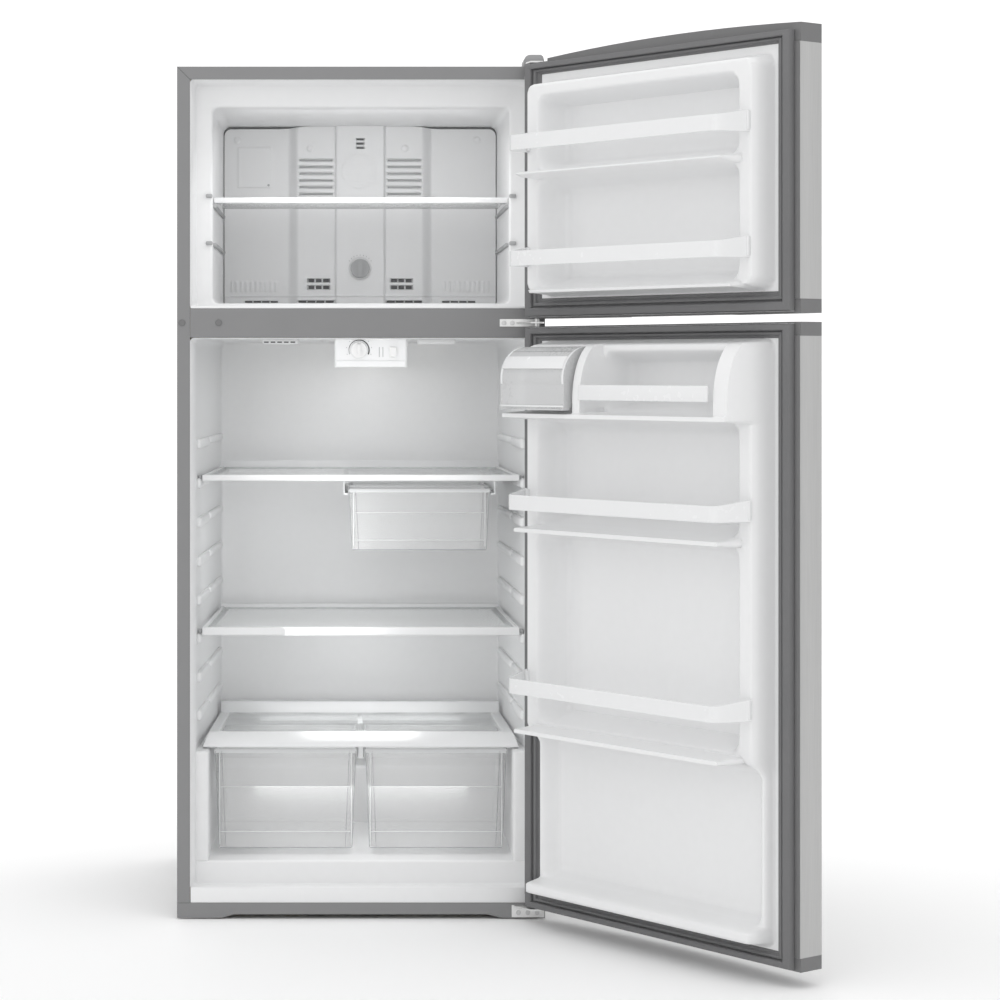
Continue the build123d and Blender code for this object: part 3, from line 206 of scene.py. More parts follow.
# Painted shade: a dark grey for the shade behind the freezer's back cover.
PAINTED_COVER_SHADE = finish("painted_cover_shade", (0.2, 0.2, 0.205), 0.7, bump=0.06, grain=500, vary=0.05)
DIAL_WHITE = finish("dial_white", (0.8, 0.8, 0.8), 0.35, bump=0.05, grain=600, vary=0.02)
LAMP_GLASS = finish("lamp_glass", (0.98, 0.97, 0.93), 0.3, clear=0.4, glow=3.0, bump=0.02, grain=100,
                    vary=0.01)
GALVANISED = finish("galvanised", (0.5, 0.505, 0.51), 0.42, metal=1.0, bump=0.08, grain=90, vary=0.16,
                    wear=0.12)
HINGE_STEEL = finish("hinge_steel", (0.78, 0.78, 0.775), 0.36, metal=1.0, bump=0.08, grain=300, vary=0.06)
HINGE_COVER = finish("hinge_cover", (0.26, 0.26, 0.265), 0.5, bump=0.25, grain=900, vary=0.04)
SCREW_STEEL = finish("screw_steel", (0.6, 0.6, 0.6), 0.3, metal=1.0, bump=0.05, grain=900, vary=0.05)
COIL_METAL = finish("coil_metal", (0.62, 0.63, 0.64), 0.4, metal=1.0, bump=0.1, grain=500, vary=0.08)
QUARTZ = finish("quartz", (0.9, 0.9, 0.9), 0.1, clear=0.8, bump=0.02, grain=50, vary=0.02)
BLACK_ENAMEL = finish("black_enamel", (0.012, 0.012, 0.013), 0.28, bump=0.15, grain=300, vary=0.2, coat=0.4)
MOTOR_GREY = finish("motor_grey", (0.12, 0.12, 0.125), 0.45, metal=0.6, bump=0.1, grain=500, vary=0.06)
BLACK_MOULDING = finish("black_moulding", (0.02, 0.02, 0.021), 0.5, bump=0.2, grain=700, vary=0.15)
# Near black for the case's seams and the dial's printed wedge, and painted shade in the ceiling vent slots.
DARK_JOINT_PRINT_AND_SHADE = finish("dark_joint_print_and_shade", (0.06, 0.062, 0.065), 0.7, bump=0.1, grain=500, vary=0.1)
PRESSED_BOARD = finish("pressed_board", (0.055, 0.05, 0.045), 0.85, bump=0.5, grain=250, vary=0.2)
CARRIED = {
    "case_wrapper": CASE_ENAMEL, "mullion_rail": CASE_ENAMEL, "base_rail": CASE_ENAMEL,
    "freezer_door_skin": BRUSHED, "fridge_door_skin": BRUSHED,
    "freezer_door_caps": CAP_GREY, "fridge_door_caps": CAP_GREY,
    "freezer_liner": LINER_WHITE, "fridge_liner": LINER_WHITE,
    "freezer_door_liner": LINER_WHITE, "fridge_door_liner": LINER_WHITE,
    "freezer_door_gasket": GASKET_GREY, "fridge_door_gasket": GASKET_GREY,
    "wall_insulation": FOAM_TAN, "freezer_door_foam": FOAM_TAN, "fridge_door_foam": FOAM_TAN,
    "freezer_door_bars": BAR_WHITE, "fridge_door_bars": BAR_WHITE,
    "evaporator_cover": COVER_GREY, "control_box": INTERIOR_WHITE, "upper_shelf_frame": INTERIOR_WHITE,
    "lower_shelf_frame": INTERIOR_WHITE, "crisper_frame": INTERIOR_WHITE, "freezer_shelf_trim": BAR_WHITE,
    "pan_rails": INTERIOR_WHITE, "upper_shelf_glass": SHELF_GLASS, "lower_shelf_glass": SHELF_GLASS,
    "crisper_glass": SHELF_GLASS, "crisper_left": CLEAR_STYRENE, "crisper_right": CLEAR_STYRENE,
    "meat_pan": CLEAR_STYRENE, "dairy_door": FROSTED_STYRENE, "hinge_plugs": CAP_GREY,
    "freezer_shelf_plate": CLEAR_STYRENE, "freezer_knob": DIAL_GREY_AND_SHADE, "fridge_knob": DIAL_WHITE,
    "light_switch": DIAL_WHITE,
    "light_bulb": LAMP_GLASS,
    "rear_panel": GALVANISED, "base_pan": GALVANISED, "top_hinge": HINGE_STEEL, "center_hinge": HINGE_STEEL,
    "bottom_hinge": HINGE_STEEL, "top_hinge_cover": HINGE_COVER, "screws": SCREW_STEEL,
    "evaporator_coil": COIL_METAL, "condenser_coil": COIL_METAL, "defrost_heater": QUARTZ,
    "compressor": BLACK_ENAMEL, "fan_motors": MOTOR_GREY, "evaporator_fan": BLACK_MOULDING,
    "condenser_fan": BLACK_MOULDING, "drain_pan": BLACK_MOULDING, "cord_gland": BLACK_MOULDING,
    "roller_left": BLACK_MOULDING, "roller_right": BLACK_MOULDING, "foot_left": BLACK_MOULDING,
    "foot_right": BLACK_MOULDING, "compressor_cover": PRESSED_BOARD,
}


# ---- shapes -----------------------------------------------------------------------------
def eased(keys, cuts, steps=5):
    """A broken line with its corners eased: each corner P becomes the parabola
    (1-t)^2 A + 2t(1-t) P + t^2 B, where A and B lie on its two runs, a cut's length from P."""
    keys = np.asarray(keys, float)
    cuts = np.broadcast_to(np.asarray(cuts, float), (len(keys),))
    out = [keys[:1]]
    t = np.linspace(0, 1, steps)[:, None]
    for before, corner, after, cut in zip(keys[:-2], keys[1:-1], keys[2:], cuts[1:-1]):
        a = corner + (before - corner) * min(cut / np.linalg.norm(before - corner), 0.5)
        b = corner + (after - corner) * min(cut / np.linalg.norm(after - corner), 0.5)
        out.append((1 - t) ** 2 * a + 2 * t * (1 - t) * corner + t ** 2 * b)
    out.append(keys[-1:])
    return np.concatenate(out)


def round_rectangle(low, high, radius, steps=6):
    """Points round a rectangle with corner arcs: corner centre + radius (cos a, sin a), a quarter turn
    each."""
    low, high = np.asarray(low, float), np.asarray(high, float)
    turn = np.linspace(0, math.pi / 2, steps)
    parts = []
    for k, (sx, sy) in enumerate(((1, 1), (-1, 1), (-1, -1), (1, -1))):
        cx = high[0] - radius if sx > 0 else low[0] + radius
        cy = high[1] - radius if sy > 0 else low[1] + radius
        a = turn + k * math.pi / 2
        parts.append(np.stack([cx + radius * np.cos(a), cy + radius * np.sin(a)], -1))
    return np.concatenate(parts)


def weave(rows, cols, close_cols=True, close_rows=False):
    """Quads between neighbouring points of a grid with rows x cols points, joined round where closed."""
    r = np.arange(rows if close_rows else rows - 1)[:, None]
    c = np.arange(cols if close_cols else cols - 1)[None, :]
    r1, c1 = (r + 1) % rows, (c + 1) % cols
    quads = np.stack([r * cols + c, r * cols + c1, r1 * cols + c1, r1 * cols + c], -1)
    return quads.reshape(-1, 4)


def volume(points, faces):
    """Signed volume: a sixth of the sum of a . (b x c) over each face's triangles."""
    total = 0.0
    for face in faces:
        a, f = points[face[:, 0]], face
        for k in range(1, f.shape[1] - 1):
            total += np.einsum("ij,ij->i", a, np.cross(points[f[:, k]], points[f[:, k + 1]])).sum()
    return total / 6


def flipped(faces):
    """The same faces seen from their other side."""
    return [group[:, ::-1] for group in faces]


def facing(points, faces, inwards=False):
    """A skin with its faces turned to look out of it, or into it."""
    negative = volume(points - points.mean(0), faces) < 0
    return points, flipped(faces) if negative != inwards else faces


def lofted(rings):
    """A skin through closed rings of points, its first and last ring filled flat, facing outwards."""
    rings = np.asarray(rings, float)
    rows, cols = rings.shape[:2]
    ends = [np.arange(cols)[::-1][None, :], (rows - 1) * cols + np.arange(cols)[None, :]]
    return facing(rings.reshape(-1, 3), [weave(rows, cols)] + ends)


def carried(profile, loop, around):
    """A closed profile (out, up) carried round a closed loop: each loop corner has an inward diagonal, and
    the profile's points stand at corner + out * diagonal + up * around."""
    profile, loop = np.asarray(profile, float), np.asarray(loop, float)
    corners, diagonals = loop[:, 0], loop[:, 1]
    out, up = profile[None, :, :1], profile[None, :, 1:]
    points = corners[:, None] + out * diagonals[:, None] + up * np.asarray(around, float)
    rows, cols = points.shape[:2]
    return facing(points.reshape(-1, 3), [weave(rows, cols, close_rows=True)])


def block(x, d, z, r=2.0, corner=None, steps=4):
    """A moulded block: a round-cornered plan carried up, drawn in by r (1 - cos a) near both ends."""
    corner = r if corner is None else corner
    a = np.linspace(0, math.pi / 2, steps)
    inset = np.concatenate([r * (1 - np.sin(a)), r * (1 - np.cos(a))])
    height = np.concatenate([z[0] + r * (1 - np.cos(a)), z[1] - r * (1 - np.sin(a))])
    rings = []
    for i, h in zip(inset, height):
        plan = round_rectangle((x[0] + i, d[0] + i), (x[1] - i, d[1] - i), max(corner - i, 0.05), steps)
        rings.append(np.column_stack([plan, np.full(len(plan), h)]))
    return lofted(rings)


def rail(near, far, z, r=1.5):
    """A straight bar between two depths: near and far give depth and the two sides' x, and r rounds the
    corners."""
    rings = []
    for d, low, high in (near, far):
        end = round_rectangle((low, z[0]), (high, z[1]), r, 4)
        rings.append(np.column_stack([end[:, 0], np.full(len(end), d), end[:, 1]]))
    return lofted(rings)


def turned(shape, x, z, degrees):
    """A shape turned about a point of the upright plane facing the front."""
    points, faces = shape
    c, s = math.cos(math.radians(degrees)), math.sin(math.radians(degrees))
    moved = points.copy()
    moved[:, 0] = x + (points[:, 0] - x) * c - (points[:, 2] - z) * s
    moved[:, 2] = z + (points[:, 0] - x) * s + (points[:, 2] - z) * c
    return moved, faces


def disc(x, d, z, radius, depth, r=0.6, turn=24):
    """A round button standing out of an upright face: circles of radius - r (1 - sin a) stepping forward."""
    a = np.linspace(0, math.pi / 2, 4)
    radii = np.concatenate([[radius], radius - r * (1 - np.cos(a))])
    depths = np.concatenate([[d], d - depth + r * (1 - np.sin(a))])
    t = np.linspace(0, 2 * math.pi, turn, endpoint=False)
    rings = [np.stack([x + q * np.cos(t), np.full(turn, y), z + q * np.sin(t)], -1)
             for q, y in zip(radii, depths)]
    return lofted(rings)


def swung(shape):
    """A shape of the closed door turned about the hinge pin to the open rest."""
    points, faces = shape
    c, s = math.cos(DOOR_OPEN), math.sin(DOOR_OPEN)
    away = points[:, :2] - PIN
    moved = points.copy()
    moved[:, 0] = PIN[0] + away[:, 0] * c - away[:, 1] * s
    moved[:, 1] = PIN[1] + away[:, 0] * s + away[:, 1] * c
    return moved, faces


def put(name, shapes, body, material, stands_for=(), sharp=38.0):
    """Joins shapes into one piece in metres, shades it smooth up to a sharp angle, and rides it on a body."""
    points, faces, start = [], [], 0
    for p, groups in shapes:
        points.append(p)
        faces += [face for group in groups for face in (group + start).tolist()]
        start += len(p)
    points = np.concatenate(points) * MM
    points[:, 1] -= FRONT * MM
    mesh = bpy.data.meshes.new(name)
    mesh.from_pydata(points.tolist(), [], faces)
    mesh.polygons.foreach_set("use_smooth", np.ones(len(mesh.polygons), bool))
    mesh.set_sharp_from_angle(angle=math.radians(sharp))
    mesh.materials.append(material)
    mesh.update()
    piece = bpy.data.objects.new(name, mesh)
    bpy.context.collection.objects.link(piece)
    if stands_for:
        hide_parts(*stands_for)
    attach(piece, body)
    return piece


def ease(t):
    """0 below 0, 1 above 1, and 3t^2 - 2t^3 between."""
    t = np.clip(t, 0, 1)
    return t * t * (3 - 2 * t)


def inside(x, z, low, high, radius):
    """How far (x, z) lies inside a round-cornered rectangle, negative outside it."""
    cx, cz = (low[0] + high[0]) / 2, (low[1] + high[1]) / 2
    qx = np.abs(x - cx) - (high[0] - low[0]) / 2 + radius
    qz = np.abs(z - cz) - (high[1] - low[1]) / 2 + radius
    return radius - np.hypot(np.maximum(qx, 0), np.maximum(qz, 0)) - np.minimum(np.maximum(qx, qz), 0)


def rulings(low, high, coarse, fine, places):
    """Grid lines from low to high, coarse apart, and fine apart within reach of each (place, reach)."""
    lines = [np.arange(low, high, coarse), [high]]
    lines += [np.arange(max(p - w, low), min(p + w, high), fine) for p, w in places]
    lines = np.unique(np.concatenate(lines).round(2))
    keep = np.concatenate([[True], np.diff(lines) > fine * 0.6])
    keep[-1] = True
    return lines[keep]


# ---- case -------------------------------------------------------------------------------
walls = [block((s * 347.5 - 5.5, s * 347.5 + 5.5), (3, FILLING_BACK), (34, 1644)) for s in SIDES]
walls += [block((s * 322 - 19, s * 322 + 19), (66, FILLING_BACK), (1202, 1600)) for s in SIDES]
walls += [block((s * 326 - 14, s * 326 + 14), (66, BAY_FRONT), (40, 296)) for s in SIDES]
across = (((66, FILLING_BACK), (1590, 1644)), ((16, FILLING_BACK), (1136, 1168)),
          ((612, FILLING_BACK), (197, 1586)), ((16, BAY_FRONT), (34, 46)), ((66, 466), (47, 88)),
          ((497, 510), (48, 206)))
walls += [block((-340, 340), d, z) for d, z in across]
put("case_filling", walls, "cabinet", FOAM_TAN, ["wall_insulation"])
flanges = [block((s * 348 - 5.8, s * 348 + 5.8), (655.2, 656.4), (32, 206), 0.2, 0.2) for s in SIDES]
put("case_return_flanges", flanges, "cabinet", GALVANISED)
mitre, mitre_faces = turned(block((-0.35, 0.35), (-0.25, 0.3), (-17, 17), 0.1, 0.1), 0, 0, 45)
mitre = mitre + np.array([-343, 0, 1634.5])
seams = [(mitre, mitre_faces), (mitre * np.array([-1, 1, 1]), flipped(mitre_faces))]
seams += [block((s * 343 - 12.3, s * 343 + 12.3), (-0.2, 0.3), (30.6, 31.3), 0.1, 0.1) for s in SIDES]
put("case_corner_seams", seams, "cabinet", DARK_JOINT_PRINT_AND_SHADE)
cap_steps = ((1647.1, 314.3, 354.8, 4.2, 77.8), (1661, 315.2, 354.6, 5.4, 77.4), (1668, 319, 353, 10, 75),
             (1671.6, 324, 350, 15, 71))
cap_rings = []
for z, x0, x1, d0, d1 in cap_steps:
    plan = round_rectangle((x0, d0), (x1, d1), 5, 5)
    cap_rings.append(np.column_stack([plan, np.full(len(plan), z)]))
cap_ridges = [block((327, 349), d, (1670.6, 1672), 0.4, 0.4) for d in ((17.5, 19.5), (44, 46))]
put("hinge_cover_moulding", [lofted(cap_rings)] + cap_ridges, "cabinet", HINGE_COVER,
    ["top_hinge_cover"])


# ---- cabinet liners ---------------------------------------------------------------------
def cabinet_liner(keys, cuts, steps=5):
    """Rounded rings from the mouth to the back wall: each eased key gives depth, half width, bottom, top
    and radius."""
    rings = []
    for d, half, low, high, radius in eased(keys, cuts, steps):
        ring = round_rectangle((-half, low), (half, high), radius, 7)
        rings.append(np.stack([ring[:, 0], np.full(len(ring), d), ring[:, 1]], -1))
    rings = np.array(rings)
    rows, cols = rings.shape[:2]
    faces = [weave(rows, cols), ((rows - 1) * cols + np.arange(cols))[None, :]]
    return facing(rings.reshape(-1, 3), faces, inwards=True)


def thick(piece, amount):
    """Gives a skin a wall, grown behind its face."""
    solid = piece.modifiers.new("wall", "SOLIDIFY")
    solid.thickness = amount
    solid.offset = -1


freezer_keys = [(1.4, 330, 1180.2, 1622.3, 8), (50, 322, 1183.2, 1616.3, 10), (49.9, 289, 1190.5, 1573, 12),
                (120, 288, 1190.2, 1573, 16), (594.8, 288, 1190.2, 1572.8, 16), (594.8, 250, 1230, 1530, 14)]
thick(put("freezer_cabinet_liner", [cabinet_liner(freezer_keys, (0, 5, 9, 4, 12, 0), 6)], "cabinet",
          LINER_WHITE,
          ["freezer_liner"]), 0.0012)

fridge_keys = [(1.4, 330, 58.2, 1121.8, 8), (49, 322, 58.4, 1120.8, 10), (50, 322, 103.8, 1120.8, 10),
               (100, 320, 104.2, 1120.8, 14), (594.8, 300, 104.2, 1120.8, 16), (594.8, 250, 160, 1060, 14)]
crisper_walls = [block(x, (48.6, 594), (101, 317), 5, 6) for x in ((-327, -297.2), (297.2, 327))]
sill = [block((-329.8, 329.8), (0.2, 4), z, r, corner)
        for z, r, corner in (((31.2, 61), 1.4, 1.5), ((1179.6, 1184), 1, 1))]
hump = [block((-300, 300), (480.2, 594), (92, 224.8), 8, 6)]


def wall_ribs():
    """Ribs that the shelves rest on: low blocks along both side walls, following the walls' taper."""
    ribs = []
    for z in (928, 851, 774, 697, 621, 546, 470, 395):
        for side in SIDES:
            near = block((-8, 4), (78, 262), (z - 22, z - 3), 5, 6)
            far = block((-8, 4), (292, 560), (z - 18, z - 3), 5, 6)
            for points, faces in (near, far):
                wall = 322 - (points[:, 1] - 50) * 22 / 545
                moved = points.copy()
                moved[:, 0] = side * (wall + points[:, 0])
                ribs.append((moved, faces if side > 0 else flipped(faces)))
    return ribs


thick(put("fridge_cabinet_liner", [cabinet_liner(fridge_keys, (0, 4, 5, 4, 12, 0), 6)], "cabinet",
          LINER_WHITE,
          ["fridge_liner"]), 0.0012)
vents = [block(x, (84, 150), (1111.5, 1121.5), 3, 4) for x in ((-194, -123), (112, 186))]
put("fridge_liner_shoulders", crisper_walls + hump + sill + wall_ribs() + vents, "cabinet", LINER_WHITE)
# Painted shade: dark strips on the vents' front faces stand in for the shade inside the slots.
vent_slot_shade = [block((-190 + 13 * k, -181 + 13 * k), (83.4, 85), (1114, 1116.4), 0.4, 0.4) for k in range(5)]
put("ceiling_vent_slot_shade", vent_slot_shade, "cabinet", DARK_JOINT_PRINT_AND_SHADE)
# Painted shade: the shelf guides and rails are coloured grey to stand in for their shading against the white
# liner.
guides = [block((s * 296 - 6.5, s * 296 + 6.5), (44, 70), (z - 4, z + 4), 2.5, 3)
          for s in SIDES for z in (1400, 1308)]
guides += [block((s * 286.5 - 4.5, s * 286.5 + 4.5), (60, 430), (z - 4, z + 3), 2.5, 3)
           for s in SIDES for z in (1381, 1306)]
put("freezer_shelf_guides_painted_shade", guides, "cabinet", PAINTED_SHADE_GREY)


# ---- door liners ------------------------------------------------------------------------
def sheet(gx, gz, depth, back_d):
    """A closed moulded sheet: a grid of (x, depth, z) points, its border turned back to a flat back."""
    rows, cols = gx.shape
    points = np.stack([gx, depth, gz], -1).reshape(-1, 3)
    index = np.arange(rows * cols).reshape(rows, cols)
    border = np.concatenate([index[0], index[1:, -1], index[-1, -2::-1], index[-2:0:-1, 0]])
    back = points[border].copy()
    back[:, 1] = back_d
    foot = rows * cols + np.arange(len(border))
    skirt = np.stack([border, np.roll(border, -1), np.roll(foot, -1), foot], -1)
    faces = [weave(rows, cols, close_cols=False), skirt[:, ::-1], foot[None, :]]
    return facing(np.concatenate([points, back]), faces)


def door_sheet(x, z, rise):
    """A door's liner: depth = rise(x, z) over straight rulings."""
    gx, gz = np.meshgrid(x, z)
    return sheet(gx, gz, rise(gx, gz), SHEET_BACK)


def ledge(x, z, base, low, high, top, radius=5.0, draft=3.0):
    """Raises the sheet to at least top over a rectangle, through a steep eased edge."""
    share = ease(inside(x, z, low, high, radius) / draft)
    return np.maximum(base, base + (top - base) * share)


def freezer_door_rise(x, z):
    """Flange, then a rounded dyke, then soft recesses, with two ledges standing out of them."""
    dyke = ease(inside(x, z, (-299, 1199), (299, 1609), 26) / 11)
    depth = FLANGE_D + (DYKE_D - FLANGE_D) * dyke
    for low, high in (((-263, 1212), (263, 1424)), ((-263, 1430), (263, 1580))):
        pool = ease(inside(x, z, low, high, 30) / 24)
        depth = depth + (RECESS_D - depth) * pool
    depth = ledge(x, z, depth, (-268, 1420), (268, 1434), 88)
    return ledge(x, z, depth, (-268, 1201), (268, 1216), 60, 8, 5)


def fridge_door_rise(x, z):
    """As the freezer's, with a plain rim below the lowest bar and the can rack's and dairy box's walls at
    the top, whose front edge is an ellipse's quarter."""
    dyke = ease(inside(x, z, (-299, 60), (299, 1117), 26) / 11)
    tall = 6 + 32 * ease((z - 352) / 44)
    depth = FLANGE_D + (tall - FLANGE_D) * dyke
    pools = (((-285, 92), (285, 384), 26), ((-263, 396), (263, 761), 30), ((-263, 766), (263, 974), 30),
             ((-252, 981), (80, 1097), 26), ((106, 981), (292, 1094), 26))
    for low, high, corner in pools:
        pool = ease(inside(x, z, low, high, corner) / 22)
        depth = depth + (RECESS_D - depth) * pool
    depth = ledge(x, z, depth, (-268, 755), (268, 769), 94)
    depth = ledge(x, z, depth, (-268, 379), (268, 393), 94)
    depth = ledge(x, z, depth, (-296, 66), (296, 100), 44, 12, 9)
    depth = ledge(x, z, depth, (-291, 968), (295, 984), 100, 7)
    arch = 38 + 56 * np.sqrt(np.clip(1 - (np.maximum(z - 1006, 0) / 106) ** 2, 0, 1))
    wall = np.where(z < 1006, 94, arch)
    for a, b in ((78, 108), (-292, -249)):
        share = ease(inside(x, z, (a, 976), (b, 1112), 6) / 5)
        depth = np.maximum(depth, depth + (wall - depth) * share)
    return depth


door_lines = [(-280, 28), (280, 28)]
freezer_x = rulings(-340, 340, 9, 2.6, door_lines)
freezer_z = rulings(1162, 1646.2, 9, 2.4, [(1208, 24), (1428, 18), (1594, 28)])
put("freezer_door_moulding", [swung(door_sheet(freezer_x, freezer_z, freezer_door_rise))], "freezer_door",
    LINER_WHITE, ["freezer_door_liner"], 60)
fridge_x = rulings(-340, 340, 9, 2.6, door_lines + [(79, 14), (107, 14), (-250, 12)])
fridge_z = rulings(32, 1141.5, 9, 2.4, [(84, 30), (386, 18), (762, 18), (978, 20), (1100, 26)])
put("fridge_door_moulding", [swung(door_sheet(fridge_x, fridge_z, fridge_door_rise))], "fridge_door",
    LINER_WHITE, ["fridge_door_liner"], 60)


# ---- door fillings ----------------------------------------------------------------------
def filling(z0, z1):
    """The foam behind a door's skin: the door's plan set in, carried up between its end caps. The plan is
    straight at the back and sides and a circle's arc in front, through both front corners and the bow's
    top."""
    half, side, bow, back = 351.6, -67, -92, -26.7
    sag = side - bow
    radius = (half ** 2 + sag ** 2) / (2 * sag)
    reach = math.asin(half / radius)
    a = np.linspace(-reach, reach * 0.905, 24)
    front = np.stack([radius * np.sin(a), bow + radius * (1 - np.cos(a))], -1)
    plan = np.concatenate([front, [(338.5, -62), (half, -48), (half, back), (-half, back)]])
    rings = [np.column_stack([plan, np.full(len(plan), z)]) for z in np.linspace(z0, z1, 3)]
    return swung(lofted(rings))


put("freezer_door_filling", [filling(1178, 1630.2)], "freezer_door", FOAM_TAN,
    ["freezer_door_foam"])
put("fridge_door_filling", [filling(48, 1125.5)], "fridge_door", FOAM_TAN, ["fridge_door_foam"])

# ---- gaskets ----------------------------------------------------------------------------
BELLOWS = [(0, -14.1), (0.6, -4), (2.2, -1.4), (5, -0.9), (15, -0.9), (17.2, -2.4), (18.2, -8.6),
           (20.2, -9.4), (22, -5.2), (25, -4.2), (27.6, -5.6), (28.8, -10), (31, -11.4), (34.5, -11.2),
           (37, -14.1)]


def gasket(z, bottom_band, top_band):
    """The bellows profile carried round the door's back and mitred at its corners; its width may differ
    between the sides and the two ends."""
    loop = [((342, 0, z[0]), (-1, 0, bottom_band)), ((342, 0, z[1]), (-1, 0, -top_band)),
            ((-342, 0, z[1]), (1, 0, -top_band)), ((-342, 0, z[0]), (1, 0, bottom_band))]
    return swung(carried(BELLOWS, loop, (0, 1, 0)))


put("freezer_gasket_bellows", [gasket((1162.5, 1645.7), 0.94, 0.58)], "freezer_door", GASKET_GREY,
    ["freezer_door_gasket"], 30)
put("fridge_gasket_bellows", [gasket((32.5, 1141), 0.7, 0.67)], "fridge_door", GASKET_GREY,
    ["fridge_door_gasket"], 30)


# ---- door bars --------------------------------------------------------------------------
def rack_bar(front_half, root_half, front_d, root_d, low, tall, wall=2.6):
    """A snap-in rack: a tall thin section carried along an eased U, its upper edge rising towards both
    roots."""
    path = eased([(-root_half, root_d), (-front_half, front_d), (front_half, front_d), (root_half, root_d)],
                 (0, 14, 14, 0), 6)
    run = np.gradient(path, axis=0)
    side = np.stack([run[:, 1], -run[:, 0]], -1) / np.linalg.norm(run, axis=1)[:, None]
    near_root = ease(1 - (path[:, 1] - root_d) / (front_d - root_d))
    edge = np.array([(0, 0), (wall, 0), (wall, 0.06), (wall * 0.72, 0.1), (wall * 0.72, 0.9), (wall, 0.94),
                     (wall, 1), (0, 1)])
    rings = []
    for (px, pd), (nx, nd), lift in zip(path, side, near_root):
        high = tall + 10 * lift
        rings.append(np.stack([px + nx * edge[:, 0], pd + nd * edge[:, 0], low + high * edge[:, 1]], -1))
    return lofted(rings)


def bar_feet(root_half, root_d, low, tall):
    """The clips that hold a rack on its posts: small rounded pads at both roots."""
    depths, heights = (root_d - 1, root_d + 7), (low + 3, low + tall + 8)
    return [block((s * root_half - 5, s * root_half + 5), depths, heights, 1.6, 2) for s in SIDES]


freezer_bars, fridge_bars = [], []
for z in (1471.5, 1255.0):
    freezer_bars.append(rack_bar(270, 287.5, 104, RACK_ROOT_D, z, RACK_TALL))
    freezer_bars += bar_feet(284, RACK_ROOT_D, z, RACK_TALL)
for z in (800.0, 457.5):
    fridge_bars.append(rack_bar(268, 292, 108, RACK_ROOT_D, z, RACK_TALL))
    fridge_bars += bar_feet(287, RACK_ROOT_D, z, RACK_TALL)
fridge_bars.append(block((-248.6, 77.6), (98.5, 104), (1006, 1034), 1.6, 2.4))
edge_strips = {"freezer": (1184, 1624.2), "fridge": (54, 1119.5)}
for door, z in edge_strips.items():
    strips = [swung(block((s * 348.4 - 5.6, s * 348.4 + 5.6), (-14.4, -13.4), z, 0.3, 0.3)) for s in SIDES]
    put(f"{door}_door_back_strips", strips, f"{door}_door", CAP_GREY)
put("freezer_door_racks", [swung(s) for s in freezer_bars], "freezer_door", BAR_WHITE,
    ["freezer_door_bars"])
put("fridge_door_racks", [swung(s) for s in fridge_bars], "fridge_door", BAR_WHITE,
    ["fridge_door_bars"])

# ---- freezer back cover -----------------------------------------------------------------
def ring(x, d, z, outer, inner, depth, turn=48):
    """A raised ring on an upright face: a small half-round section carried round a circle."""
    t = np.linspace(0, 2 * math.pi, turn, endpoint=False)
    a = np.linspace(0, 2 * math.pi, 8, endpoint=False)
    middle, half = (outer + inner) / 2, (outer - inner) / 2
    rho = middle + half * np.cos(a)[None, :]
    points = np.stack([x + rho * np.cos(t)[:, None], d - depth * np.sin(a)[None, :] + 0 * t[:, None],
                       z + rho * np.sin(t)[:, None]], -1)
    rows, cols = points.shape[:2]
    return facing(points.reshape(-1, 3), [weave(rows, cols, close_rows=True)])


def near_any(value, places):
    """Distance to the nearest of several places."""
    return np.abs(np.asarray(value)[..., None] - np.asarray(places, float)).min(-1)


def cover_depth(x, z):
    """The cover's depth: the wings, ramps to louvred panels 16 forward and a centre panel 8 further, a
    hatch, a fan boss with fine rings and four low bumps raised on it, soft ribs along the foot of both
    wings, and louvres, vents and foot slots sunk into it."""
    a = np.abs(x)
    depth = WING_D - 16 * ease((152 - a) / 23) - 8 * ease((54 - a) / 5)
    depth -= 1.6 * ease(inside(x, z, (-259, 1444), (-186, 1530), 4) / 1.6)
    r = np.hypot(x + 3, z - 1478)
    depth -= 1.1 * ease((38 - r) / 4) + 0.35 * (0.5 + 0.5 * np.cos(r * 0.9)) * ease((37 - r) / 3)
    for bx, bz in ((-259, 1545), (-105, 1526), (94, 1526), (246, 1545)):
        depth -= 2 * ease((8 - np.hypot(x - bx, z - bz)) / 3)
    comb = (0.5 + 0.5 * np.cos(x * 2 * math.pi / 10.4)) * ease((51 - np.abs(a - 223)) / 4)
    depth -= 2.2 * comb * ease((13 - np.abs(z - 1236)) / 5)
    depth -= 2.0 * ease((3 - np.abs(z - 1216)) / 3)
    louvre = ease((3.1 - near_any(z, LOUVRE_Z)) / 1.3)
    depth += 6 * louvre * ease((36 - np.abs(a - 93)) / 1.6)
    bars = ease((1.9 - near_any(a, (79.4, 94.6))) / 1.0)
    depth += 9 * ease((4.6 - near_any(z, VENT_Z)) / 1.3) * ease((24 - np.abs(a - 87)) / 1.4) * (1 - bars)
    depth += 6 * ease((2.4 - near_any(z, CENTRE_SLOT_Z)) / 1.1) * ease((9 - a) / 1.2)
    foot = np.maximum(ease((38 - np.abs(a - 93)) / 1.4), ease((36 - np.abs(a - 208)) / 1.4))
    foot = foot * (1 - ease((1.6 - near_any(a, (74, 93, 112, 190, 208, 226))) / 0.9))
    return np.minimum(depth + 8 * foot * ease((2.8 - np.abs(z - 1204)) / 1.2), 472.4)


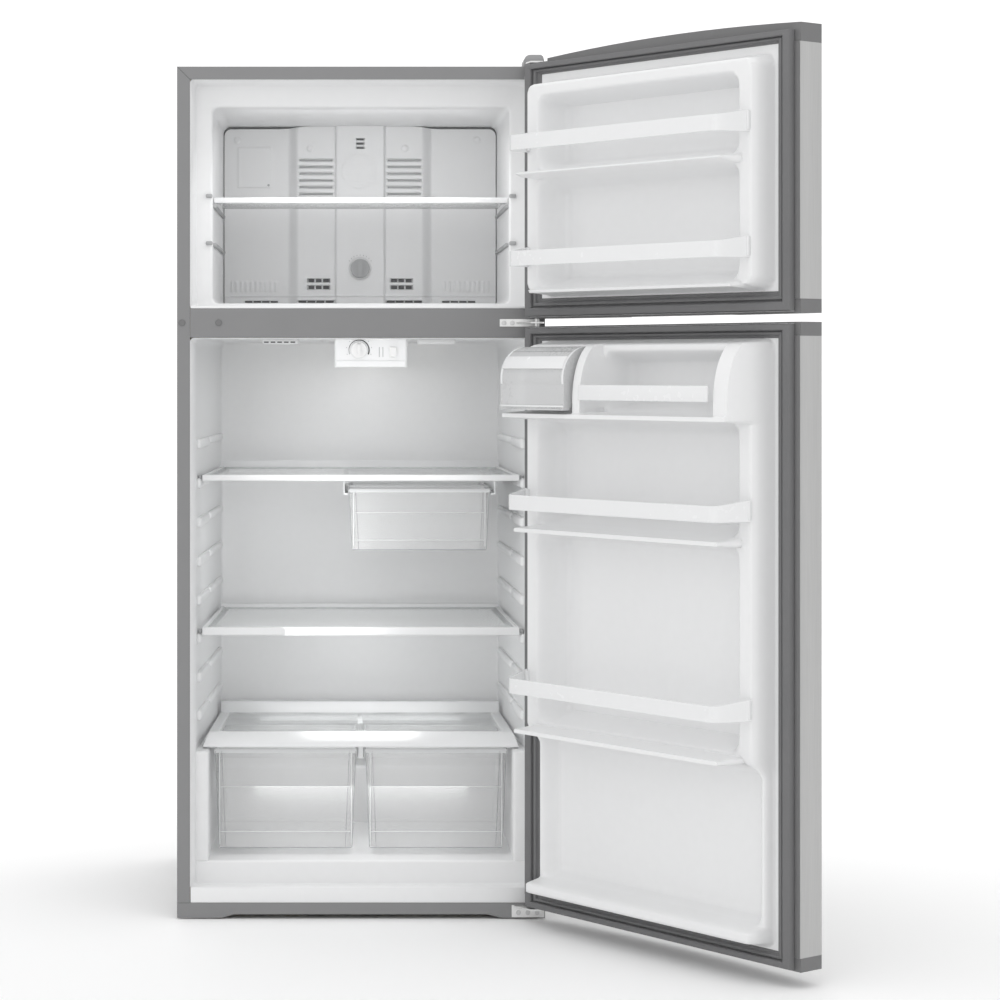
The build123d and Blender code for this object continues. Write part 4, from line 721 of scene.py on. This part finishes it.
def back_cover():
    """The freezer's back cover as one sheet: its rulings run between an eased arch and a round-cornered
    foot."""
    places = ((5, 7), (38, 4), (54, 5), (93, 40), (140, 16), (223, 54), (279, 8))
    x = rulings(-COVER_HALF, COVER_HALF, 7, 1.5,
                [(s * place, reach) for s in SIDES for place, reach in places])
    z = rulings(*COVER_Z, 7, 1.5, [(1204, 6), (1216, 6), (1236, 19), (1466, 46), (1536, 18), (1564, 9)])
    gx, level = np.meshgrid(x, (z - z[0]) / (z[-1] - z[0]))
    a = np.abs(gx)

    def corner(radius):
        """How far a corner's arc falls from the edge."""
        return radius - np.sqrt(radius ** 2 - np.clip(a - COVER_HALF + radius, 0, radius * 0.999) ** 2)

    top = COVER_Z[1] - 4.5 * ease((a - 104) / 70) - corner(15)
    low = COVER_Z[0] + corner(9)
    gz = low + (top - low) * level
    return sheet(gx, gz, cover_depth(gx, gz), 473)


put("freezer_back_cover", [back_cover()], "cabinet", COVER_GREY, ["evaporator_cover"], 50)
# Painted shade: grey strips on the floors of the louvre recesses darken them where shade falls.
louvre_shade = [block((s * 93 - 35, s * 93 + 35), (458.6, 460.6), (z - 2.3, z + 2.3), 0.4, 0.4)
                for s in SIDES for z in LOUVRE_Z]
put("freezer_louvre_painted_shade", louvre_shade, "cabinet", PAINTED_SHADE_GREY)
# Painted shade: dark blocks on the floors of the vents, centre slots and foot slots stand in for the shade
# inside them.
vent_shade = [block((s * 87 + k * 15.3 - 6, s * 87 + k * 15.3 + 6), (459.6, 463.6), (z - 3.4, z + 3.4),
                    0.4, 0.4)
              for s in SIDES for k in (-1, 0, 1) for z in VENT_Z]
vent_shade += [block((-7.4, 7.4), (450, 452.6), (z - 1.3, z + 1.3), 0.3, 0.3) for z in CENTRE_SLOT_Z]
for middle, pitch, half, depths in ((93, 19, 8, (457, 462.6)), (208, 18, 7.6, (470.6, 472.6))):
    vent_shade += [block((s * middle + k * pitch - half, s * middle + k * pitch + half), depths,
                         (1202.4, 1205.8), 0.4, 0.4)
                   for s in SIDES for k in (-1.5, -0.5, 0.5, 1.5)]
put("freezer_vent_painted_shade", vent_shade, "cabinet", PAINTED_VENT_SHADE)
# Painted shade: a dark plate behind the back cover, no real piece, standing in for the shade behind it.
put("freezer_cover_painted_shade", [block((-287.6, 287.6), (474.5, 480), (1190.5, 1572.6), 0.5, 0.6)], "cabinet",
    PAINTED_COVER_SHADE)


def dial_mark(centre, radius, a, depths, tall, r):
    """A short mark on a dial's scale: centre + radius (cos a, sin a)."""
    x, z = centre[0] + radius * math.cos(a), centre[1] + radius * math.sin(a)
    return block((x - 0.6, x + 0.6), depths, (z - tall, z + tall), r, r)


put("freezer_dial_ring", [ring(FREEZER_DIAL[0], 446, FREEZER_DIAL[1], 25, 23, 0.9)], "cabinet", COVER_GREY)
freezer_marks = [dial_mark(FREEZER_DIAL, 28, a, (445.4, 446.6), 1.2, 0.2)
                 for a in np.radians(np.linspace(35, 145, 9))]
put("freezer_dial_marks", freezer_marks, "cabinet", DIAL_GREY_AND_SHADE)
put("freezer_hatch_catch", [disc(-193, 468.6, 1450, 2.6, 0.8)], "cabinet", DIAL_GREY_AND_SHADE)
rear_edge = [block((-284, 284), (347.6, 350), (1392.8, 1403), 0.6, 0.6)]
rear_edge += [block((s * 278 - 6, s * 278 + 6), (70.5, 84), (1386, 1393.2), 1.5, 2) for s in SIDES]
put("shelf_rear_edge", rear_edge, "freezer_shelf", DIAL_GREY_AND_SHADE)


# ---- drawers ----------------------------------------------------------------------------
def drawer_rim(x, d, z, out, drop):
    """A turned-over rim: its section carried round the drawer's top."""
    section = [(0, 0), (0, -drop), (-1.4, -drop), (-1.4, -1.6), (2.2, -1.6), (2.2, 0)]
    loop = [((x[0] - out, d[0] - out, z), (1, 1, 0)), ((x[1] + out, d[0] - out, z), (-1, 1, 0)),
            ((x[1] + out, d[1] + out, z), (-1, -1, 0)), ((x[0] - out, d[1] + out, z), (1, -1, 0))]
    return carried([(o + 1.4, u) for o, u in section], loop, (0, 0, 1))


def drawer_ribs(x, d, z, lean):
    """Stiffening ribs on a drawer's front: thin uprights and a level band that follow its lean."""
    shapes = []
    for cx in (x[0] + 10, x[1] - 10):
        points, faces = block((cx - 1, cx + 1), (-1.2, 0.6), (z[0] + 8, z[1] - 4), 0.5, 0.5)
        points = points.copy()
        points[:, 1] += d + lean * (1 - (points[:, 2] - z[0]) / (z[1] - z[0]))
        shapes.append((points, faces))
    for level in (0.17, 0.62):
        h = z[0] + (z[1] - z[0]) * level
        face = d + lean * (1 - level)
        shapes.append(block((x[0] + 12, x[1] - 12), (face - 1.2, face + 0.6), (h - 0.8, h + 0.8), 0.5, 0.5))
    return shapes


def drawer_outline(x, d, z, lean, reach):
    """The thick corners of a moulded drawer's front: two uprights beside each corner and one line along
    the foot."""
    shapes = []
    for edge, s in ((x[0], 1), (x[1], -1)):
        for step, width in ((1.2, 0.5), (reach, 0.35)):
            cx = edge + s * step
            points, faces = block((cx - width, cx + width), (-0.7, 0.5), (z[0] + 3, z[1] - 2), 0.3, 0.3)
            points = points.copy()
            drop = 1 - (points[:, 2] - z[0]) / (z[1] - z[0])
            points[:, 0] += s * lean * drop
            points[:, 1] += d + lean * drop
            shapes.append((points, faces))
    foot = z[0] + 1.5
    across = (x[0] + lean + 2, x[1] - lean - 2)
    shapes.append(block(across, (d + lean - 0.8, d + lean + 0.4), (foot - 0.7, foot + 0.7), 0.3, 0.3))
    return shapes


for side, x in CRISPER_X.items():
    rim = [drawer_rim(x, CRISPER_D, 315.2, 0.4, 9)]
    rim += drawer_ribs(x, CRISPER_D[0], (CRISPER_FLOOR, 314), CRISPER_LEAN)
    put(f"crisper_{side}_rim", rim, f"{side}_crisper", STYRENE_EDGE)
    corners = drawer_outline(x, CRISPER_D[0], (CRISPER_FLOOR, 312), CRISPER_LEAN, 14)
    put(f"crisper_{side}_corners", corners, f"{side}_crisper", STYRENE_LINE)
put("meat_drawer_corners", drawer_outline(MEAT_X, MEAT_D[0], (MEAT_FLOOR, 822), MEAT_LEAN, 14), "meat_drawer",
    STYRENE_LINE)
# Painted shadow: small grey blocks at the front ends of both shelves, where the shelf's corner meets the rib.
end_shadows = [block((s * 316 - 3.4, s * 316 + 3.4), (84, 104), (z, z + 8), 1, 1.5)
        for s in SIDES for z in (845, 543)]
put("shelf_end_painted_shadows", end_shadows, "cabinet", PAINTED_SHADE_GREY)
rail_line = [block((-22, 254), (121, 123), (829.5, 832), 0.4, 0.4)]
put("meat_rail_shadow", rail_line, "upper_shelf", DIAL_GREY_AND_SHADE)
apron_side = np.array([(86, 319.1), (82, 320), (80.8, 322.5), (83, 326), (107, 344.6), (111, 346.6),
                       (117.4, 346.8), (117.4, 319.1)])
apron = []
for u in np.linspace(-1, 1, 9):
    half = 311 - 12.5 * (apron_side[:, 1] - 319) / 28
    apron.append(np.stack([u * half, apron_side[:, 0], apron_side[:, 1]], -1))
cover_frame = [lofted(apron), block((-296.4, 296.4), (522, 547.8), (319.2, 354.8), 1.5, 2),
               block((-5, 5), (105, 540), (296, 326.6), 1, 1.5),
               block((-7, 7), (106.5, 459), (294.1, 297.4), 0.8, 1)]
cover_frame += [rail((117, *near), (547.6, *far), (319.2, 331.8))
                for near, far in (((-309.4, -289.6), (-296.4, -276.8)), ((289.6, 309.4), (276.8, 296.4)))]
put("crisper_cover_frame", cover_frame, "cabinet", INTERIOR_WHITE, ["crisper_frame"])
meat_rim = [drawer_rim(MEAT_X, MEAT_D, 825.2, 0.2, 7)]
meat_rim += drawer_ribs(MEAT_X, MEAT_D[0], (MEAT_FLOOR, 824), MEAT_LEAN)
put("meat_drawer_rim", meat_rim, "meat_drawer", STYRENE_EDGE)

# ---- controls ---------------------------------------------------------------------------
sweep = np.radians(np.linspace(205, -25, 24))
width = np.linspace(0.5, 2.6, 24)
wedge_corners = ((-width / 2, 121.4), (width / 2, 121.4), (width / 2, 122.4), (-width / 2, 122.4))
arc = np.stack([np.stack([FRIDGE_DIAL[0] + (20 + w) * np.cos(sweep), np.full(24, d),
                          FRIDGE_DIAL[1] + (20 + w) * np.sin(sweep)], -1)
                for w, d in wedge_corners], 1)
put("dial_wedge", [lofted(arc)], "cabinet", DARK_JOINT_PRINT_AND_SHADE)
# Painted shade: the two slots are grey blocks standing in for the shade inside them; the dial's scale marks
# are print.
marks = [block((36 + 7 * k, 37.4 + 7 * k), (121.3, 123), (1086, 1106), 0.4, 0.6) for k in range(2)]
marks += [dial_mark(FRIDGE_DIAL, 25, a, (121.4, 122.6), 1, 0.3)
          for a in np.radians(np.linspace(200, -20, 8)) if 25 * math.sin(a) < 19]
put("control_slot_shade_and_dial_marks", marks, "cabinet", DIAL_GREY_AND_SHADE)
put("control_box_step", [block((-49, 89), (119.5, 123), (1067, 1079), 1.4, 1.5)], "cabinet", INTERIOR_WHITE)

# ---- dairy cover ------------------------------------------------------------------------
def arc_band(x, turn, rise, r):
    """A band round the cover's curve: centre + (radius + rise) (cos t, sin t), between two angles in
    degrees."""
    rings = []
    for t in np.radians(np.linspace(*turn, 14)):
        flat = round_rectangle((x[0], rise[0]), (x[1], rise[1]), r, 4)
        reach = DAIRY_ARC_R + flat[:, 1]
        depth, height = DAIRY_ARC[0] + reach * math.cos(t), DAIRY_ARC[1] + reach * math.sin(t)
        rings.append(np.stack([flat[:, 0], depth, height], -1))
    return swung(lofted(rings))


handle = [arc_band((116, 283), (18, 42), (0.1, 2.6), 1.2)]
handle += [arc_band(x, (-9, 84), (-5, 0.9), 1) for x in ((112.3, 117.5), (281.5, 286.7))]
handle.append(swung(block((112.5, 286.5), (103.4, 109), (987.2, 996), 1.6, 2)))
put("dairy_cover_handle", handle, "dairy_cover", BAR_WHITE)
# Painted shade: a grey band along the cover's crease.
put("dairy_cover_crease_shade", [arc_band((117, 282), (57.5, 59.5), (0, 0.5), 0.2)], "dairy_cover", DIAL_GREY_AND_SHADE)

for node, material in CARRIED.items():
    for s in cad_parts[node].material_slots:
        s.material = material

# ---- stage ------------------------------------------------------------------------------
sweep_line = eased([(-9, 0), (9, 0), (9, 9)], (0, 5, 0), 16)
floor_points = np.stack([np.stack([np.full(len(sweep_line), x), sweep_line[:, 0], sweep_line[:, 1]], -1)
                         for x in (-16, 16)], 1).reshape(-1, 3)
floor_mesh = bpy.data.meshes.new("studio_floor")
floor_mesh.from_pydata(floor_points.tolist(), [], weave(len(sweep_line), 2, close_cols=False).tolist())
floor_mesh.polygons.foreach_set("use_smooth", np.ones(len(floor_mesh.polygons), bool))
floor = bpy.data.objects.new("studio_floor", floor_mesh)
bpy.context.collection.objects.link(floor)
floor_mesh.materials.append(finish("studio_floor", (0.96, 0.96, 0.96), 0.7, bump=0.0, vary=0.003, grain=3,
                                   specular=0.1))

world = bpy.data.worlds.new("studio")
world.use_nodes = True
world.node_tree.nodes["Background"].inputs["Color"].default_value = (1, 1, 1, 1)
world.node_tree.nodes["Background"].inputs["Strength"].default_value = 0.97
bpy.context.scene.world = world
bpy.context.scene.view_settings.view_transform = "Standard"
soft_light("front_box", (-0.9, -5.0, 2.2), (0, 0, 0.9), 2.6, 8)
soft_light("backdrop_box", (0, 1.6, 5.2), (0, 9, 1.5), 3, 150)
soft_light("top_box", (0.2, -1.2, 4.2), (0, 0, 0.9), 2.4, 18)
soft_light("freezer_glow", (0, -0.24, 1.565), (0, 0.12, 1.3), 0.45, 0.95)
soft_light("shelf_glow", (0.02, 0.02, 1.075), (0.0, 0.04, 0.3), 0.3, 0.3)
soft_light("upper_fill", (0, -0.27, 0.97), (0, 0.2, 0.8), 0.45, 0.24)
soft_light("middle_fill", (-0.12, -0.27, 0.66), (0.05, 0.2, 0.68), 0.3, 0.3)
soft_light("lower_fill", (0, -0.24, 0.45), (0, 0.2, 0.44), 0.2, 0.34)
soft_light("crisper_glow", (0, -0.06, 0.292), (0, 0.0, 0.1), 0.42, 0.7)

camera()
